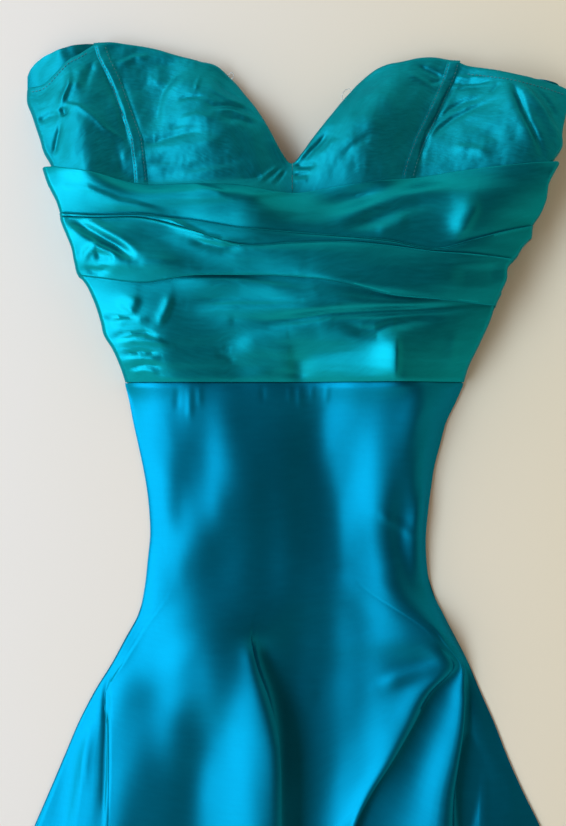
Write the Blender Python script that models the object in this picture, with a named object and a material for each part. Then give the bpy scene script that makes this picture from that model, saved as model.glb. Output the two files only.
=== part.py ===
"""Strapless satin evening gown, laid on its back with the front crowned up by its cups.

Frame: metres, +Z up. The back lies flat on z = 0, the bust points to +Y and the hem to -Y,
and the left side of the garment as it lies is at -X. The origin is on the surface, in the
middle of the gown's box. Tables are in millimetres and are turned into metres as they are read.
"""

import math

import bmesh
import bpy
import numpy as np

MM = 0.001

# Driving dimensions of the cloth, in metres.
BACK_THICKNESS = 0.0012
SKIRT_THICKNESS = 0.0013
DRAPE_THICKNESS = 0.0015
CUP_THICKNESS = 0.0024
STRIP_THICKNESS = 0.0012
SEAM_GAP = 0.0003
REST_HEIGHT = BACK_THICKNESS + SEAM_GAP  # the side edges of the front lie on the back

# Lengths along the gown, as Y, in metres.
WAIST_SEAM_Y = 0.3925
CUP_BOTTOM_Y = 0.540
BACK_NECK_Y = 0.5604
HEM_CENTRE_Y = -0.6880
HEM_SIDE_Y = -0.6300
FRONT_HEM_RISE = 0.0060
ZIP_BOTTOM_Y = 0.2600

# Widths in metres.
STRIP_WIDTH = 0.0110
ZIP_TAPE_WIDTH = 0.0120
ZIP_TAPE_THICKNESS = 0.0010
SLIDER_SIZE = (0.0070, 0.0120, 0.0025)
BACK_INSET = 0.0010
SHOULDER_POWER = 2.2  # how square the rounding of the sides is
STEEPEST_THICKENING = 2.2

# Where the bust's own creases begin above the midriff band, in metres.
CREASE_START_Y = 0.5660
CREASE_FADE = 0.0200
STRIP_END_GAP = 0.0010
NECK_HEM_DROP = 0.0006
ZIP_TOP_DROP = 0.0040

# Side outlines, millimetres: y, x of the left edge, x of the right edge.
SKIRT_OUTLINE = (
    (393, -144.0, 148.5), (368, -140.1, 137.0), (338, -134.0, 127.5), (310, -128.5, 121.8),
    (276, -124.0, 116.8), (250, -124.2, 115.8), (229, -126.0, 118.4), (204, -130.5, 126.0),
    (172, -143.0, 140.9), (144, -158.0, 153.6), (113, -177.9, 168.2), (56, -201.4, 190.0),
    (8, -222.2, 213.6), (-60, -250.0, 245.0), (-200, -304.0, 300.0), (-400, -378.0, 376.0),
    (-630, -460.0, 460.0), (-700, -484.0, 484.0),
)
DRAPE_OUTLINE = (
    (576, -214.0, 225.5), (559, -208.0, 216.6), (545, -201.2, 215.3), (536, -198.6, 211.3),
    (529, -197.0, 205.5), (518, -192.5, 203.8), (508, -188.2, 196.6), (495, -185.7, 190.6),
    (487, -183.8, 183.6), (480, -177.8, 183.0), (468, -171.7, 176.6), (447, -164.7, 169.6),
    (435, -161.8, 164.6), (424, -155.2, 160.0), (407, -148.3, 152.6), (391, -144.0, 148.5),
)
CUP_OUTLINE = (
    (664, -229.6, 236.0), (646, -229.8, 239.0), (634, -229.2, 239.4), (623, -224.8, 235.0),
    (612, -221.0, 231.6), (600, -216.8, 229.0), (589, -213.3, 228.4), (579, -207.6, 221.6),
    (560, -202.6, 212.0), (540, -194.6, 206.0), (530, -192.0, 200.0),
)

# Body form of the bodice, millimetres: y, height of the middle, reach of the rounded sides.
BODICE_FORM = (
    (391, 17.0, 42.0), (420, 21.0, 46.0), (460, 26.0, 54.0), (500, 31.0, 62.0),
    (540, 35.0, 68.0), (575, 36.0, 72.0), (610, 35.0, 76.0), (645, 31.0, 78.0), (690, 25.0, 78.0),
)
# The same for the skirt, which settles onto the back below the waist.
SKIRT_FORM = (
    (393, 17.6, 42.0), (360, 15.0, 34.0), (320, 11.0, 24.0), (270, 7.6, 17.0), (200, 5.0, 13.0),
    (100, 3.4, 10.0), (0, 2.8, 9.0), (-200, 2.6, 9.0), (-700, 2.6, 9.0),
)
# Domes of the padded cups, millimetres: x, y, height, reach along x inward, outward, reach along y.
CUP_DOMES = (
    (-100.0, 604.0, 17.0, 56.0, 52.0, 52.0),
    (92.0, 600.0, 17.0, 50.0, 56.0, 52.0),
    (168.0, 596.0, 6.0, 30.0, 36.0, 44.0),
)
# Creases in the cups, millimetres: x and y of the two ends, depth (minus is a trough), width.
CUP_CREASES = (
    (-141.0, 672.0, -121.0, 585.0, -4.5, 9.0),
    (-199.0, 650.0, -207.0, 592.0, 3.0, 6.0),
    (-92.0, 656.0, -118.0, 622.0, -2.4, 6.0),
    (-66.0, 640.0, -22.0, 583.0, 2.2, 8.0),
    (138.0, 650.0, 102.0, 572.0, -4.0, 9.0),
    (166.0, 645.0, 214.0, 590.0, 2.2, 9.0),
    (60.0, 628.0, 30.0, 580.0, -1.6, 8.0),
)

BUST_ROWS = 12
PANEL_WIDTH = 0.110  # usual width of a bust panel, in metres

# Neckline from the left boning channel over the V to the right one, millimetres: x, y.
NECKLINE = (
    (-159.5, 672.6), (-136.0, 671.7), (-114.0, 668.0), (-98.0, 663.3), (-77.0, 657.3),
    (-60.7, 651.8), (-46.0, 640.6), (-33.4, 625.9), (-25.2, 611.0), (-17.7, 598.4),
    (-8.6, 581.8), (0.0, 572.6), (7.9, 581.0), (15.3, 591.6), (24.4, 603.6), (33.5, 615.2),
    (42.6, 626.7), (52.5, 638.0), (60.8, 645.4), (69.1, 650.9), (77.0, 654.2), (92.2, 657.0),
    (106.3, 659.8), (114.0, 660.4), (134.6, 657.6),
)
# Top edges of the side panels of the bust, millimetres: x, y, from the channel outward.
LEFT_SIDE_TOP = (
    (-159.5, 672.6), (-168.3, 674.0), (-178.5, 669.2), (-188.6, 665.6), (-198.3, 656.6),
    (-211.0, 649.6), (-229.8, 645.6),
)
RIGHT_SIDE_TOP = (
    (134.6, 657.6), (152.2, 654.6), (165.7, 649.6), (187.6, 648.4), (212.0, 646.4),
    (231.4, 641.0), (239.3, 636.0),
)
# Middle of the boning channels, millimetres: y, x on the left, x on the right.
CHANNELS = (
    (675, -160.2, 143.5), (655, -154.2, 135.6), (630, -146.5, 125.6), (604, -139.0, 113.0),
    (590, -135.2, 106.4), (565, -130.2, 100.0), (535, -126.0, 96.0),
)
# Top edge of the back of the bust, millimetres: distance out from the middle, y on each side.
BACK_TOP_LEFT = (
    (0.0, 560.4), (27.8, 569.1), (62.6, 595.2), (97.4, 630.0), (140.9, 673.5), (174.3, 688.0),
    (187.3, 686.4), (206.4, 680.3), (219.4, 675.1), (225.9, 669.9), (229.3, 664.7), (230.6, 659.5),
)
BACK_TOP_RIGHT = (
    (0.0, 560.4), (34.0, 570.0), (67.0, 595.0), (101.0, 628.0), (134.0, 658.0), (159.2, 669.2),
    (174.9, 665.7), (190.1, 663.1), (205.4, 658.7), (221.0, 654.8), (231.5, 650.0), (238.0, 643.5),
)

# Pleat folds of the midriff band. A row is a fold's edge, from the left side seam to the right
# one: its y in millimetres at each of the stations across the front.
STATIONS = (-200, -165, -125, -85, -45, 0, 40, 80, 120, 150, 185, 220)
PLEAT_FOLDS = {
    "top": (574.0, 567.0, 558.5, 557.6, 556.4, 551.2, 556.0, 560.6, 565.6, 568.6, 571.5, 575.0),
    "upper": (535.6, 533.2, 532.6, 528.0, 520.6, 516.4, 513.2, 509.2, 502.6, 510.0, 519.6, 528.6),
    "middle": (531.4, 529.4, 528.8, 518.6, 506.2, 507.4, 508.2, 504.6, 499.4, 497.8, 495.4, 492.6),
    "lower": (485.6, 481.0, 476.4, 481.6, 481.8, 479.8, 474.4, 464.4, 461.0, 458.6, 457.6, 462.0),
    "waist": (392.8, 392.8, 392.8, 392.8, 392.8, 392.8, 392.8, 392.8, 392.8, 392.8, 392.8, 392.8),
}
# Bands of cloth between the folds: upper fold, lower fold, height above the body form at the
# upper fold, swell in the middle, height at the lower fold, rows of the wall.
PLEAT_BANDS = (
    ("top", "upper", 0.0, 2.0, 0.2, 5),
    ("upper", "middle", 2.4, 0.4, 2.2, 3),
    ("middle", "lower", 4.8, 2.6, 5.4, 6),
    ("lower", "waist", 0.6, 3.4, 0.0, 11),
)
FOLD_EDGE_HALF = 0.0008  # half the width of the step at a fold, in metres
BAND_ENDS = (-0.200, 0.220)  # x at which the folds meet the side seams, in metres
# Creases in the band, millimetres: x and y of the two ends, depth (minus is a trough), width.
DRAPE_CREASES = (
    (-196.0, 552.0, -120.0, 541.0, 1.6, 4.0),
    (-184.0, 530.0, -128.0, 497.0, -2.6, 4.5),
    (-170.0, 520.0, -140.0, 492.0, 1.4, 5.0),
    (-60.0, 455.0, 170.0, 456.0, -1.8, 9.0),
    (-158.0, 452.0, -95.0, 446.0, 1.6, 6.0),
    (-150.0, 428.0, -100.0, 430.0, 1.6, 6.0),
    (-60.0, 430.0, 40.0, 418.0, -1.4, 11.0),
    (30.0, 428.0, 90.0, 424.0, 1.8, 16.0),
)

# Flutes of the skirt. A row is one section of a flute, millimetres: y, x of the crest, its
# height, how far it falls away to the left and to the right.
SKIRT_FLUTES = {
    "left": (
        (392, -95, 0, 30, 25), (334, -108, 5, 22, 18), (290, -100, 9, 24, 24),
        (238, -86, 12, 28, 38), (169, -88, 13, 38, 38), (110, -118, 10, 36, 26),
        (12, -142, 8, 24, 22), (-150, -188, 9, 34, 36), (-350, -240, 13, 46, 46),
        (-700, -305, 17, 58, 54),
    ),
    "centre left": (
        (392, -45, 0, 30, 25), (334, -40, 5, 30, 30), (270, -50, 6, 30, 40),
        (200, -42, 9, 30, 26), (169, -38, 14, 36, 14), (122, -22, 18, 42, 10),
        (82, -17, 20, 44, 9), (12, -13, 20, 44, 9), (-100, -16, 18, 42, 16),
        (-300, -60, 15, 44, 34), (-700, -118, 18, 56, 52),
    ),
    "centre right": (
        (392, 86, 2, 40, 30), (334, 88, 8, 40, 24), (280, 84, 12, 46, 22),
        (238, 82, 13, 46, 22), (169, 100, 14, 55, 24), (122, 121, 13, 60, 12),
        (85, 100, 13, 55, 10), (40, 75, 12, 45, 10), (8, 56, 11, 38, 11), (-60, 25, 7, 34, 22),
        (-130, 5, 0, 30, 25), (-700, 5, 0, 30, 25),
    ),
    "right": (
        (392, 148, 0, 18, 6), (150, 149, 0, 18, 6), (112, 149, 8, 20, 6), (75, 146, 11, 26, 6),
        (40, 141, 12, 32, 7), (7, 143, 12, 34, 10), (-100, 130, 12, 40, 25),
        (-300, 140, 14, 45, 40), (-700, 160, 17, 56, 52),
    ),
    "left fold edge": (
        (392, -150, 0, 5, 20), (150, -150, 0, 5, 20), (125, -160, 4, 5, 25),
        (81, -160, 6, 5, 25), (8, -161, 6, 6, 20), (-120, -178, 4, 12, 25),
        (-230, -200, 0, 20, 25), (-700, -200, 0, 20, 25),
    ),
    "left side": (
        (392, -170, 0, 8, 8), (100, -172, 0, 8, 8), (60, -180, 3, 9, 8), (5, -189, 5, 12, 10),
        (-150, -245, 7, 25, 25), (-400, -338, 11, 36, 40), (-700, -418, 14, 40, 46),
    ),
    "right side": (
        (392, 168, 0, 8, 8), (80, 168, 0, 8, 8), (40, 170, 3, 9, 9), (5, 173, 5, 12, 12),
        (-150, 220, 8, 28, 25), (-400, 308, 12, 40, 40), (-700, 396, 15, 44, 46),
    ),
    "centre": (
        (392, 30, 0, 30, 30), (-90, 40, 0, 34, 34), (-250, 42, 8, 36, 36), (-450, 30, 13, 44, 44),
        (-700, 20, 17, 52, 52),
    ),
}

# Colour, roughness and metallic value of each cloth.
FINISHES = {
    "bodice_satin": ((0.0, 0.22, 0.24, 1.0), 0.38, 0.35),
    "drape_satin": ((0.0, 0.23, 0.25, 1.0), 0.36, 0.35),
    "skirt_satin": ((0.0, 0.19, 0.30, 1.0), 0.42, 0.35),
    "zip_tape": ((0.01, 0.16, 0.18, 1.0), 0.85, 0.0),
    "zip_metal": ((0.35, 0.42, 0.43, 1.0), 0.40, 0.9),
}


def clear_scene():
    for old in list(bpy.data.objects):
        bpy.data.objects.remove(old, do_unlink=True)


def make_material(name):
    colour, roughness, metallic = FINISHES[name]
    material = bpy.data.materials.new(name)
    material.use_nodes = True
    shader = material.node_tree.nodes["Principled BSDF"]
    shader.inputs["Base Color"].default_value = colour
    shader.inputs["Roughness"].default_value = roughness
    shader.inputs["Metallic"].default_value = metallic
    return material


def curve(table, column, at):
    """Smooth curve through a table's first column and one other, in metres, read at 'at'."""
    rows = np.array(sorted(table), dtype=float) * MM
    knots, values = rows[:, 0], rows[:, column]
    slopes = np.gradient(values, knots)
    at = np.clip(at, knots[0], knots[-1])
    i = np.clip(np.searchsorted(knots, at) - 1, 0, len(knots) - 2)
    span = knots[i + 1] - knots[i]
    t = (at - knots[i]) / span
    start = (2 * t**3 - 3 * t**2 + 1) * values[i] + (t**3 - 2 * t**2 + t) * span * slopes[i]
    end = (3 * t**2 - 2 * t**3) * values[i + 1] + (t**3 - t**2) * span * slopes[i + 1]
    return start + end


def line(table, column, at):
    """Straight runs through a table's first column and one other, in metres, read at 'at'."""
    rows = np.array(sorted(table), dtype=float) * MM
    return np.interp(at, rows[:, 0], rows[:, column])


def shoulder(reach):
    """Rounded side of the form: 0 at the edge, 1 from 'reach' = 1 inward."""
    inside = 1 - np.clip(reach, 0, 1)
    return (1 - inside**SHOULDER_POWER) ** (1 / SHOULDER_POWER)


def crease_relief(creases, x, y):
    """Sum of soft straight ridges and troughs, each fading towards its ends."""
    total = np.zeros_like(x)
    for row in creases:
        x0, y0, x1, y1, depth, width = (value * MM for value in row)
        length = math.hypot(x1 - x0, y1 - y0)
        along = ((x - x0) * (x1 - x0) + (y - y0) * (y1 - y0)) / length**2
        across = ((x - x0) * (y1 - y0) - (y - y0) * (x1 - x0)) / length
        fade = np.cos(np.clip((along - 0.5) * 1.5, -1, 1) * math.pi / 2)
        total += depth * np.exp(-((across / width) ** 2)) * fade
    return total


def bodice_rise(x, y):
    """Height of the body form of the bodice over the back, away from its rounded sides."""
    rise = curve(BODICE_FORM, 1, y)
    for row in CUP_DOMES:
        cx, cy, height, inward, outward, reach_y = (value * MM for value in row)
        toward_side = (x - cx) * np.sign(cx) > 0
        reach_x = np.where(toward_side, outward, inward)
        rise = rise + height * np.exp(-(((x - cx) / reach_x) ** 2) - ((y - cy) / reach_y) ** 2)
    return rise


def flute_relief(x, y):
    """Height of the skirt's flutes at a place on the skirt."""
    total = np.zeros_like(x)
    for table in SKIRT_FLUTES.values():
        crest = curve(table, 1, y)
        height = np.maximum(curve(table, 2, y), 0)
        left, right = line(table, 3, y), line(table, 4, y)
        reach = np.where(x < crest, left, right)
        total += height * np.exp(-(((x - crest) / reach) ** 2))
    return total


def thickening(x, y, relief):
    """How much deeper a wall is cut, straight down, where its relief is steep."""
    steep = np.zeros_like(relief)
    for axis in (0, 1):
        run = np.hypot(np.diff(x, axis=axis), np.diff(y, axis=axis))
        slope = np.abs(np.diff(relief, axis=axis)) / np.maximum(run, 1e-6)
        pad = [(0, 0), (0, 0)]
        pad[axis] = (1, 0)
        before = np.pad(slope, pad)
        pad[axis] = (0, 1)
        after = np.pad(slope, pad)
        steep = np.maximum(steep, np.maximum(before, after))
    return np.minimum(np.sqrt(1 + steep**2), STEEPEST_THICKENING)


def front_wall(x, y, from_left, from_right, reach, rise, relief, thickness):
    """Outer and inner points of a front piece whose sides round down onto the back.

    from_left and from_right are distances to the gown's side edges; reach is how far in
    the rounding of the sides goes.
    """
    left, right = from_left / reach, from_right / reach
    side = shoulder(left) * shoulder(right)
    depth = thickness * thickening(x, y, relief)
    height = np.maximum(rise + relief, depth + SEAM_GAP)
    shift = thickness * (np.maximum(0, 1 - left) - np.maximum(0, 1 - right))
    outer = np.stack([x, y, REST_HEIGHT + height * side], axis=-1)
    inner = np.stack([x + shift, y, REST_HEIGHT + (height - depth) * side], axis=-1)
    return outer, inner


def make_wall(name, outer, inner, material):
    """Closed wall of cloth between two grids of points, rows running from +Y to -Y."""
    rows, columns = outer.shape[:2]
    bm = bmesh.new()
    top = [[bm.verts.new(point) for point in row] for row in outer]
    under = [[bm.verts.new(point) for point in row] for row in inner]
    for r in range(rows - 1):
        for c in range(columns - 1):
            bm.faces.new((top[r][c], top[r + 1][c], top[r + 1][c + 1], top[r][c + 1]))
            bm.faces.new((under[r][c], under[r][c + 1], under[r + 1][c + 1], under[r + 1][c]))
    rim = [(0, c) for c in range(columns)]
    rim += [(r, columns - 1) for r in range(1, rows)]
    rim += [(rows - 1, c) for c in range(columns - 2, -1, -1)]
    rim += [(r, 0) for r in range(rows - 2, 0, -1)]
    for (r0, c0), (r1, c1) in zip(rim, rim[1:] + rim[:1]):
        bm.faces.new((top[r0][c0], top[r1][c1], under[r1][c1], under[r0][c0]))
    bmesh.ops.recalc_face_normals(bm, faces=bm.faces)
    mesh = bpy.data.meshes.new(name)
    bm.to_mesh(mesh)
    bm.free()
    mesh.shade_smooth()
    mesh.set_sharp_from_angle(angle=math.radians(50))
    mesh.materials.append(material)
    piece = bpy.data.objects.new(name, mesh)
    bpy.context.scene.collection.objects.link(piece)
    return piece


def spread_both(columns, evenness):
    """Fractions from 0 to 1 that are closer together at both ends."""
    even = np.linspace(0, 1, columns)
    return evenness * even + (1 - evenness) * (1 - np.cos(math.pi * even)) / 2


def fold_line(name, x):
    """Y of one of the midriff band's folds at x."""
    return curve(tuple(zip(STATIONS, PLEAT_FOLDS[name])), 1, x)


def bust_panel(name, side, side_top, columns, material):
    """Side or centre panel of the bust, on the left (side -1) or the right (side 1).

    With side_top it is the side panel, from the boning channel out to the gown's side and
    under that edge. Without it, it is the centre panel, from the middle out to the channel
    and under the neckline.
    """
    column = 1 if side < 0 else 2
    up = np.linspace(1, 0, BUST_ROWS)[:, None]
    strip_share = STRIP_WIDTH / 2 / PANEL_WIDTH
    from_channel = strip_share + (1 - strip_share) * spread_both(columns - 1, 0.55)
    from_channel = np.concatenate([[0.0], from_channel])[None, :]
    if side_top:
        out = from_channel
        top_edge = side_top
        near_y = CUP_BOTTOM_Y + (side_top[0][1] * MM - CUP_BOTTOM_Y) * up
        far_y = CUP_BOTTOM_Y + (side_top[-1][1] * MM - CUP_BOTTOM_Y) * up
        near = line(CHANNELS, column, near_y) + side * SEAM_GAP / 2
        far = curve(CUP_OUTLINE, column, far_y)
    else:
        out = 1 - from_channel[:, ::-1]
        top_edge = NECKLINE
        channel_top = (NECKLINE[0] if side < 0 else NECKLINE[-1])[1] * MM
        far_y = CUP_BOTTOM_Y + (channel_top - CUP_BOTTOM_Y) * up
        near = np.full_like(up, side * SEAM_GAP / 2)
        far = line(CHANNELS, column, far_y) - side * SEAM_GAP / 2
    x = near + (far - near) * out
    top_y = line(top_edge, 1, x[0])
    y = CUP_BOTTOM_Y + (top_y - CUP_BOTTOM_Y) * up
    if side < 0:
        x, y = x[:, ::-1], y[:, ::-1]
    return make_wall(name, *bust_points(x, y), material)


def bust_points(x, y):
    """Outer and inner points of the bust's padded wall."""
    from_left = x - curve(CUP_OUTLINE, 1, y)
    from_right = curve(CUP_OUTLINE, 2, y) - x
    reach = curve(BODICE_FORM, 2, y)
    above_band = np.clip((y - CREASE_START_Y) / CREASE_FADE, 0, 1)
    relief = crease_relief(CUP_CREASES, x, y) * above_band
    return front_wall(x, y, from_left, from_right, reach, bodice_rise(x, y), relief, CUP_THICKNESS)


def boning_strip(name, side, material):
    """Stitched channel for a bone, made from the bust's points over the seam, moved out."""
    column = 1 if side < 0 else 2
    across = np.linspace(-0.5, 0.5, 3)[None, :] * STRIP_WIDTH
    end_x = NECKLINE[0][0] * MM if side < 0 else NECKLINE[-1][0] * MM
    top_x = line(CHANNELS, column, line(NECKLINE, 1, end_x)) + across
    bottom_x = line(CHANNELS, column, BACK_NECK_Y) + across
    neck = line(NECKLINE, 1, np.clip(top_x, NECKLINE[0][0] * MM, NECKLINE[-1][0] * MM))
    top = neck - NECK_HEM_DROP
    bottom = fold_line("top", bottom_x) + STRIP_END_GAP
    up = np.linspace(1, 0, BUST_ROWS)[:, None]
    y = bottom + (top - bottom) * up
    x = line(CHANNELS, column, y) + across
    bust_outer, _ = bust_points(x, y)
    inner = bust_outer + np.array((0, 0, SEAM_GAP))
    outer = inner + np.array((0, 0, STRIP_THICKNESS))
    return make_wall(name, outer, inner, material)


def midriff_drape(material):
    """Pleated band across the front, between the cups and the waist seam."""
    shares = spread_both(30, 0.75)
    x_rows, y_rows, relief_rows, left_rows, right_rows = [], [], [], [], []
    for upper, lower, start, swell, end, count in PLEAT_BANDS:
        for step in range(count):
            f = step / (count - 1)
            left_edge_y, right_edge_y = (
                fold_line(upper, edge) * (1 - f) + fold_line(lower, edge) * f for edge in BAND_ENDS
            )
            left = curve(DRAPE_OUTLINE, 1, left_edge_y)
            right = curve(DRAPE_OUTLINE, 2, right_edge_y)
            x = left + (right - left) * shares
            y_upper = fold_line(upper, x) - (0 if upper == "top" else FOLD_EDGE_HALF)
            y_lower = fold_line(lower, x) + (SEAM_GAP / 2 if lower == "waist" else FOLD_EDGE_HALF)
            y_rows.append(y_upper * (1 - f) + y_lower * f)
            pillow = 4 * f * (1 - f)
            relief_rows.append(np.full_like(x, start + (end - start) * f + swell * pillow) * MM)
            x_rows.append(x)
            left_rows.append(np.full_like(x, left))
            right_rows.append(np.full_like(x, right))
    x, y, relief = np.array(x_rows), np.array(y_rows), np.array(relief_rows)
    relief = relief + crease_relief(DRAPE_CREASES, x, y)
    rise = bodice_rise(x, y) + SEAM_GAP + DRAPE_THICKNESS
    reach = curve(BODICE_FORM, 2, y)
    from_left, from_right = x - np.array(left_rows), np.array(right_rows) - x
    outer, inner = front_wall(
        x, y, from_left, from_right, reach, rise, relief, DRAPE_THICKNESS
    )
    return make_wall("midriff_drape", outer, inner, material)


def hem_y(x_share, rise=0.0):
    """Y of the hem at a share of the half width, curving up towards the sides."""
    return HEM_CENTRE_Y + rise + (HEM_SIDE_Y - HEM_CENTRE_Y) * x_share**2


def skirt_plan(rows, shares, hem_rise, inset):
    """X, y and the two side edges of a skirt's grid; shares run from -1 to 1."""
    down = np.linspace(0, 1, rows)[:, None] ** 1.25
    waist = WAIST_SEAM_Y - SEAM_GAP / 2
    y = waist + (hem_y(shares, hem_rise)[None, :] - waist) * down
    edge_y = waist + (HEM_SIDE_Y + hem_rise - waist) * down
    left = curve(SKIRT_OUTLINE, 1, edge_y) + inset
    right = curve(SKIRT_OUTLINE, 2, edge_y) - inset
    x = left + (right - left) * (shares[None, :] + 1) / 2
    return x, y, left, right


def skirt_front(material):
    """Front of the skirt, with its flutes."""
    shares = spread_both(37, 0.7) * 2 - 1
    x, y, left, right = skirt_plan(34, shares, FRONT_HEM_RISE, 0.0)
    outer, inner = front_wall(
        x, y, x - left, right - x, curve(SKIRT_FORM, 2, y),
        curve(SKIRT_FORM, 1, y), flute_relief(x, y), SKIRT_THICKNESS,
    )
    return make_wall("skirt_front", outer, inner, material)


def flat_wall(name, x, y, material):
    """Back piece that lies flat on the surface."""
    inner = np.stack([x, y, np.zeros_like(x)], axis=-1)
    outer = np.stack([x, y, np.full_like(x, BACK_THICKNESS)], axis=-1)
    return make_wall(name, outer, inner, material)


def skirt_back(name, side, material):
    """Half of the back of the skirt, from the middle seam to the side."""
    shares = np.linspace(-1, 0, 7) if side < 0 else np.linspace(0, 1, 7)
    x, y, left, right = skirt_plan(24, shares, 0.0, BACK_INSET)
    edge = left if side < 0 else right
    middle = side * SEAM_GAP / 2
    x = middle + (edge - middle) * np.abs(shares)[None, :]
    return flat_wall(name, x, y, material)


def bodice_back(name, side, top, material):
    """Half of the back of the bodice, from the middle seam to the side."""
    share = np.sin(np.linspace(0, 1, 14) * math.pi / 2)
    column = 1 if side < 0 else 2
    waist = WAIST_SEAM_Y + SEAM_GAP / 2
    side_top = top[-1][1] * MM
    up = np.linspace(1, 0, 16)[:, None]
    edge_y = waist + (side_top - waist) * up
    bust = curve(CUP_OUTLINE, column, edge_y)
    band = curve(DRAPE_OUTLINE, column, edge_y)
    edge = np.where(edge_y > 0.560, bust, band) - side * BACK_INSET
    corner = side * top[-1][0] * MM
    near_top = np.clip((edge_y - 0.62) / 0.03, 0, 1)
    edge = edge * (1 - near_top) + corner * near_top
    middle = side * SEAM_GAP / 2
    x = middle + (edge - middle) * share[None, :]
    top_x = np.abs(middle + (corner - middle) * share)
    top_y = line(top, 1, top_x)[None, :]
    y = waist + (top_y - waist) * up
    if side < 0:
        x, y = x[:, ::-1], y[:, ::-1]
    return flat_wall(name, x, y, material)


def zip_tape(name, side, material):
    """Half of the concealed zip's tape, inside the middle back seam."""
    near = side * SEAM_GAP
    far = side * ZIP_TAPE_WIDTH
    x = np.array(sorted((near, far)))[None, :] + np.zeros((9, 1))
    y = np.linspace(BACK_NECK_Y - ZIP_TOP_DROP, ZIP_BOTTOM_Y, 9)[:, None] + np.zeros((1, 2))
    low = np.full_like(x, BACK_THICKNESS + SEAM_GAP)
    inner = np.stack([x, y, low], axis=-1)
    outer = np.stack([x, y, low + ZIP_TAPE_THICKNESS], axis=-1)
    return make_wall(name, outer, inner, material)


def zip_slider(material):
    """Slider of the zip, closed at the top of the tapes."""
    _, length, height = SLIDER_SIZE
    low = BACK_THICKNESS + SEAM_GAP + ZIP_TAPE_THICKNESS + SEAM_GAP
    bm = bmesh.new()
    bmesh.ops.create_cube(bm, size=1.0)
    bmesh.ops.scale(bm, vec=SLIDER_SIZE, verts=bm.verts)
    bmesh.ops.bevel(
        bm, geom=bm.edges[:], offset=height * 0.2, segments=1, affect="EDGES", clamp_overlap=True
    )
    bmesh.ops.translate(
        bm, vec=(0.0, BACK_NECK_Y - ZIP_TOP_DROP - length / 2, low + height / 2), verts=bm.verts
    )
    mesh = bpy.data.meshes.new("zip_slider")
    bm.to_mesh(mesh)
    bm.free()
    mesh.materials.append(material)
    slider = bpy.data.objects.new("zip_slider", mesh)
    bpy.context.scene.collection.objects.link(slider)
    return slider


def build_gown():
    clear_scene()
    finish = {name: make_material(name) for name in FINISHES}
    bodice, drape, skirt = finish["bodice_satin"], finish["drape_satin"], finish["skirt_satin"]
    for side, word, side_top in ((-1, "left", LEFT_SIDE_TOP), (1, "right", RIGHT_SIDE_TOP)):
        bust_panel(f"cup_{word}_side", side, side_top, 10, bodice)
        bust_panel(f"cup_{word}_centre", side, None, 15, bodice)
        boning_strip(f"boning_{word}", side, bodice)
    midriff_drape(drape)
    skirt_front(skirt)
    for side, word, top in ((-1, "left", BACK_TOP_LEFT), (1, "right", BACK_TOP_RIGHT)):
        bodice_back(f"bodice_back_{word}", side, top, bodice)
        skirt_back(f"skirt_back_{word}", side, skirt)
        zip_tape(f"zip_tape_{word}", side, finish["zip_tape"])
    zip_slider(finish["zip_metal"])


build_gown()
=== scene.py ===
"""Looks of the strapless satin evening gown: cloth, stitching, zip, light and camera.

Metres, +Z up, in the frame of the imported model. The gown lies on its back on z = 0 with the
bust towards +Y. Tables are in millimetres and are turned into metres as they are read.
"""

import functools
import math

import bmesh
import bpy
import numpy as np
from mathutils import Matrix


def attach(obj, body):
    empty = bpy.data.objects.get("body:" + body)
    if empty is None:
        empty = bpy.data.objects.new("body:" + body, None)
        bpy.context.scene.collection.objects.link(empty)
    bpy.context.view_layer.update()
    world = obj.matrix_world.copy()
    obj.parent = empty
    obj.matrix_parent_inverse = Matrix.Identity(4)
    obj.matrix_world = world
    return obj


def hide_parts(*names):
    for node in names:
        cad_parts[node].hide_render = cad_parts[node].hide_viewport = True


MM = 0.001

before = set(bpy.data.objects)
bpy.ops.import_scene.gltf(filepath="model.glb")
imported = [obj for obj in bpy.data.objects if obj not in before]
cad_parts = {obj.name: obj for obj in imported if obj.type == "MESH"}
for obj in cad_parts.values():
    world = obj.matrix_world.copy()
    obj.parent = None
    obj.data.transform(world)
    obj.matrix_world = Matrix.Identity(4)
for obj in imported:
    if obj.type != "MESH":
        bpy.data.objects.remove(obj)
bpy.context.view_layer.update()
bpy.ops.object.select_all(action="DESELECT")

# Sizes shared with the part's source, in metres.
BACK_THICKNESS = 0.0012
SEAM_GAP = 0.0003
REST_HEIGHT = BACK_THICKNESS + SEAM_GAP
STRIP_WIDTH = 0.0110
WAIST_SEAM_Y = 0.3925
CUP_BOTTOM_Y = 0.540
BACK_NECK_Y = 0.5604
HEM_CENTRE_Y = -0.6880
HEM_SIDE_Y = -0.6300
FRONT_HEM_RISE = 0.0060
ZIP_BOTTOM_Y = 0.2600
ZIP_TOP_Y = 0.5564
ZIP_TAPE_THICKNESS = 0.0010
BACK_INSET = 0.0010
SHOULDER_POWER = 2.2  # how square the rounded sides are

# Column of a side's values in a table, and the side's name: -1 is left, 1 is right.
COLUMN = {-1: 1, 1: 2}
WORD = {-1: "left", 1: "right"}

# Form under the cloth, in metres.
DRAPE_LIFT = 0.0018  # the band's face over the cups
SIDE_ROLL = 0.006  # how far in the front turns down to the side seam
BAND_ENDS = (-0.200, 0.220)  # where the band's two ends are read
UNDERBUST_Y = 0.5750  # top of the band's own form
UNDERBUST_BLEND = 0.020  # length over which the cups' form gives way to the band's
CUP_EVENING = ((0.25, -0.009), (0.5, 0.0), (0.25, 0.009))  # shares and steps along X
LEAST_BUST_RISE = 0.003
FORM_ROWS, FORM_COLUMNS = 80, 190  # grid of the band's form
FORM_HELD = 0.012  # length below its top where it still keeps the bodice table's shape

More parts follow.
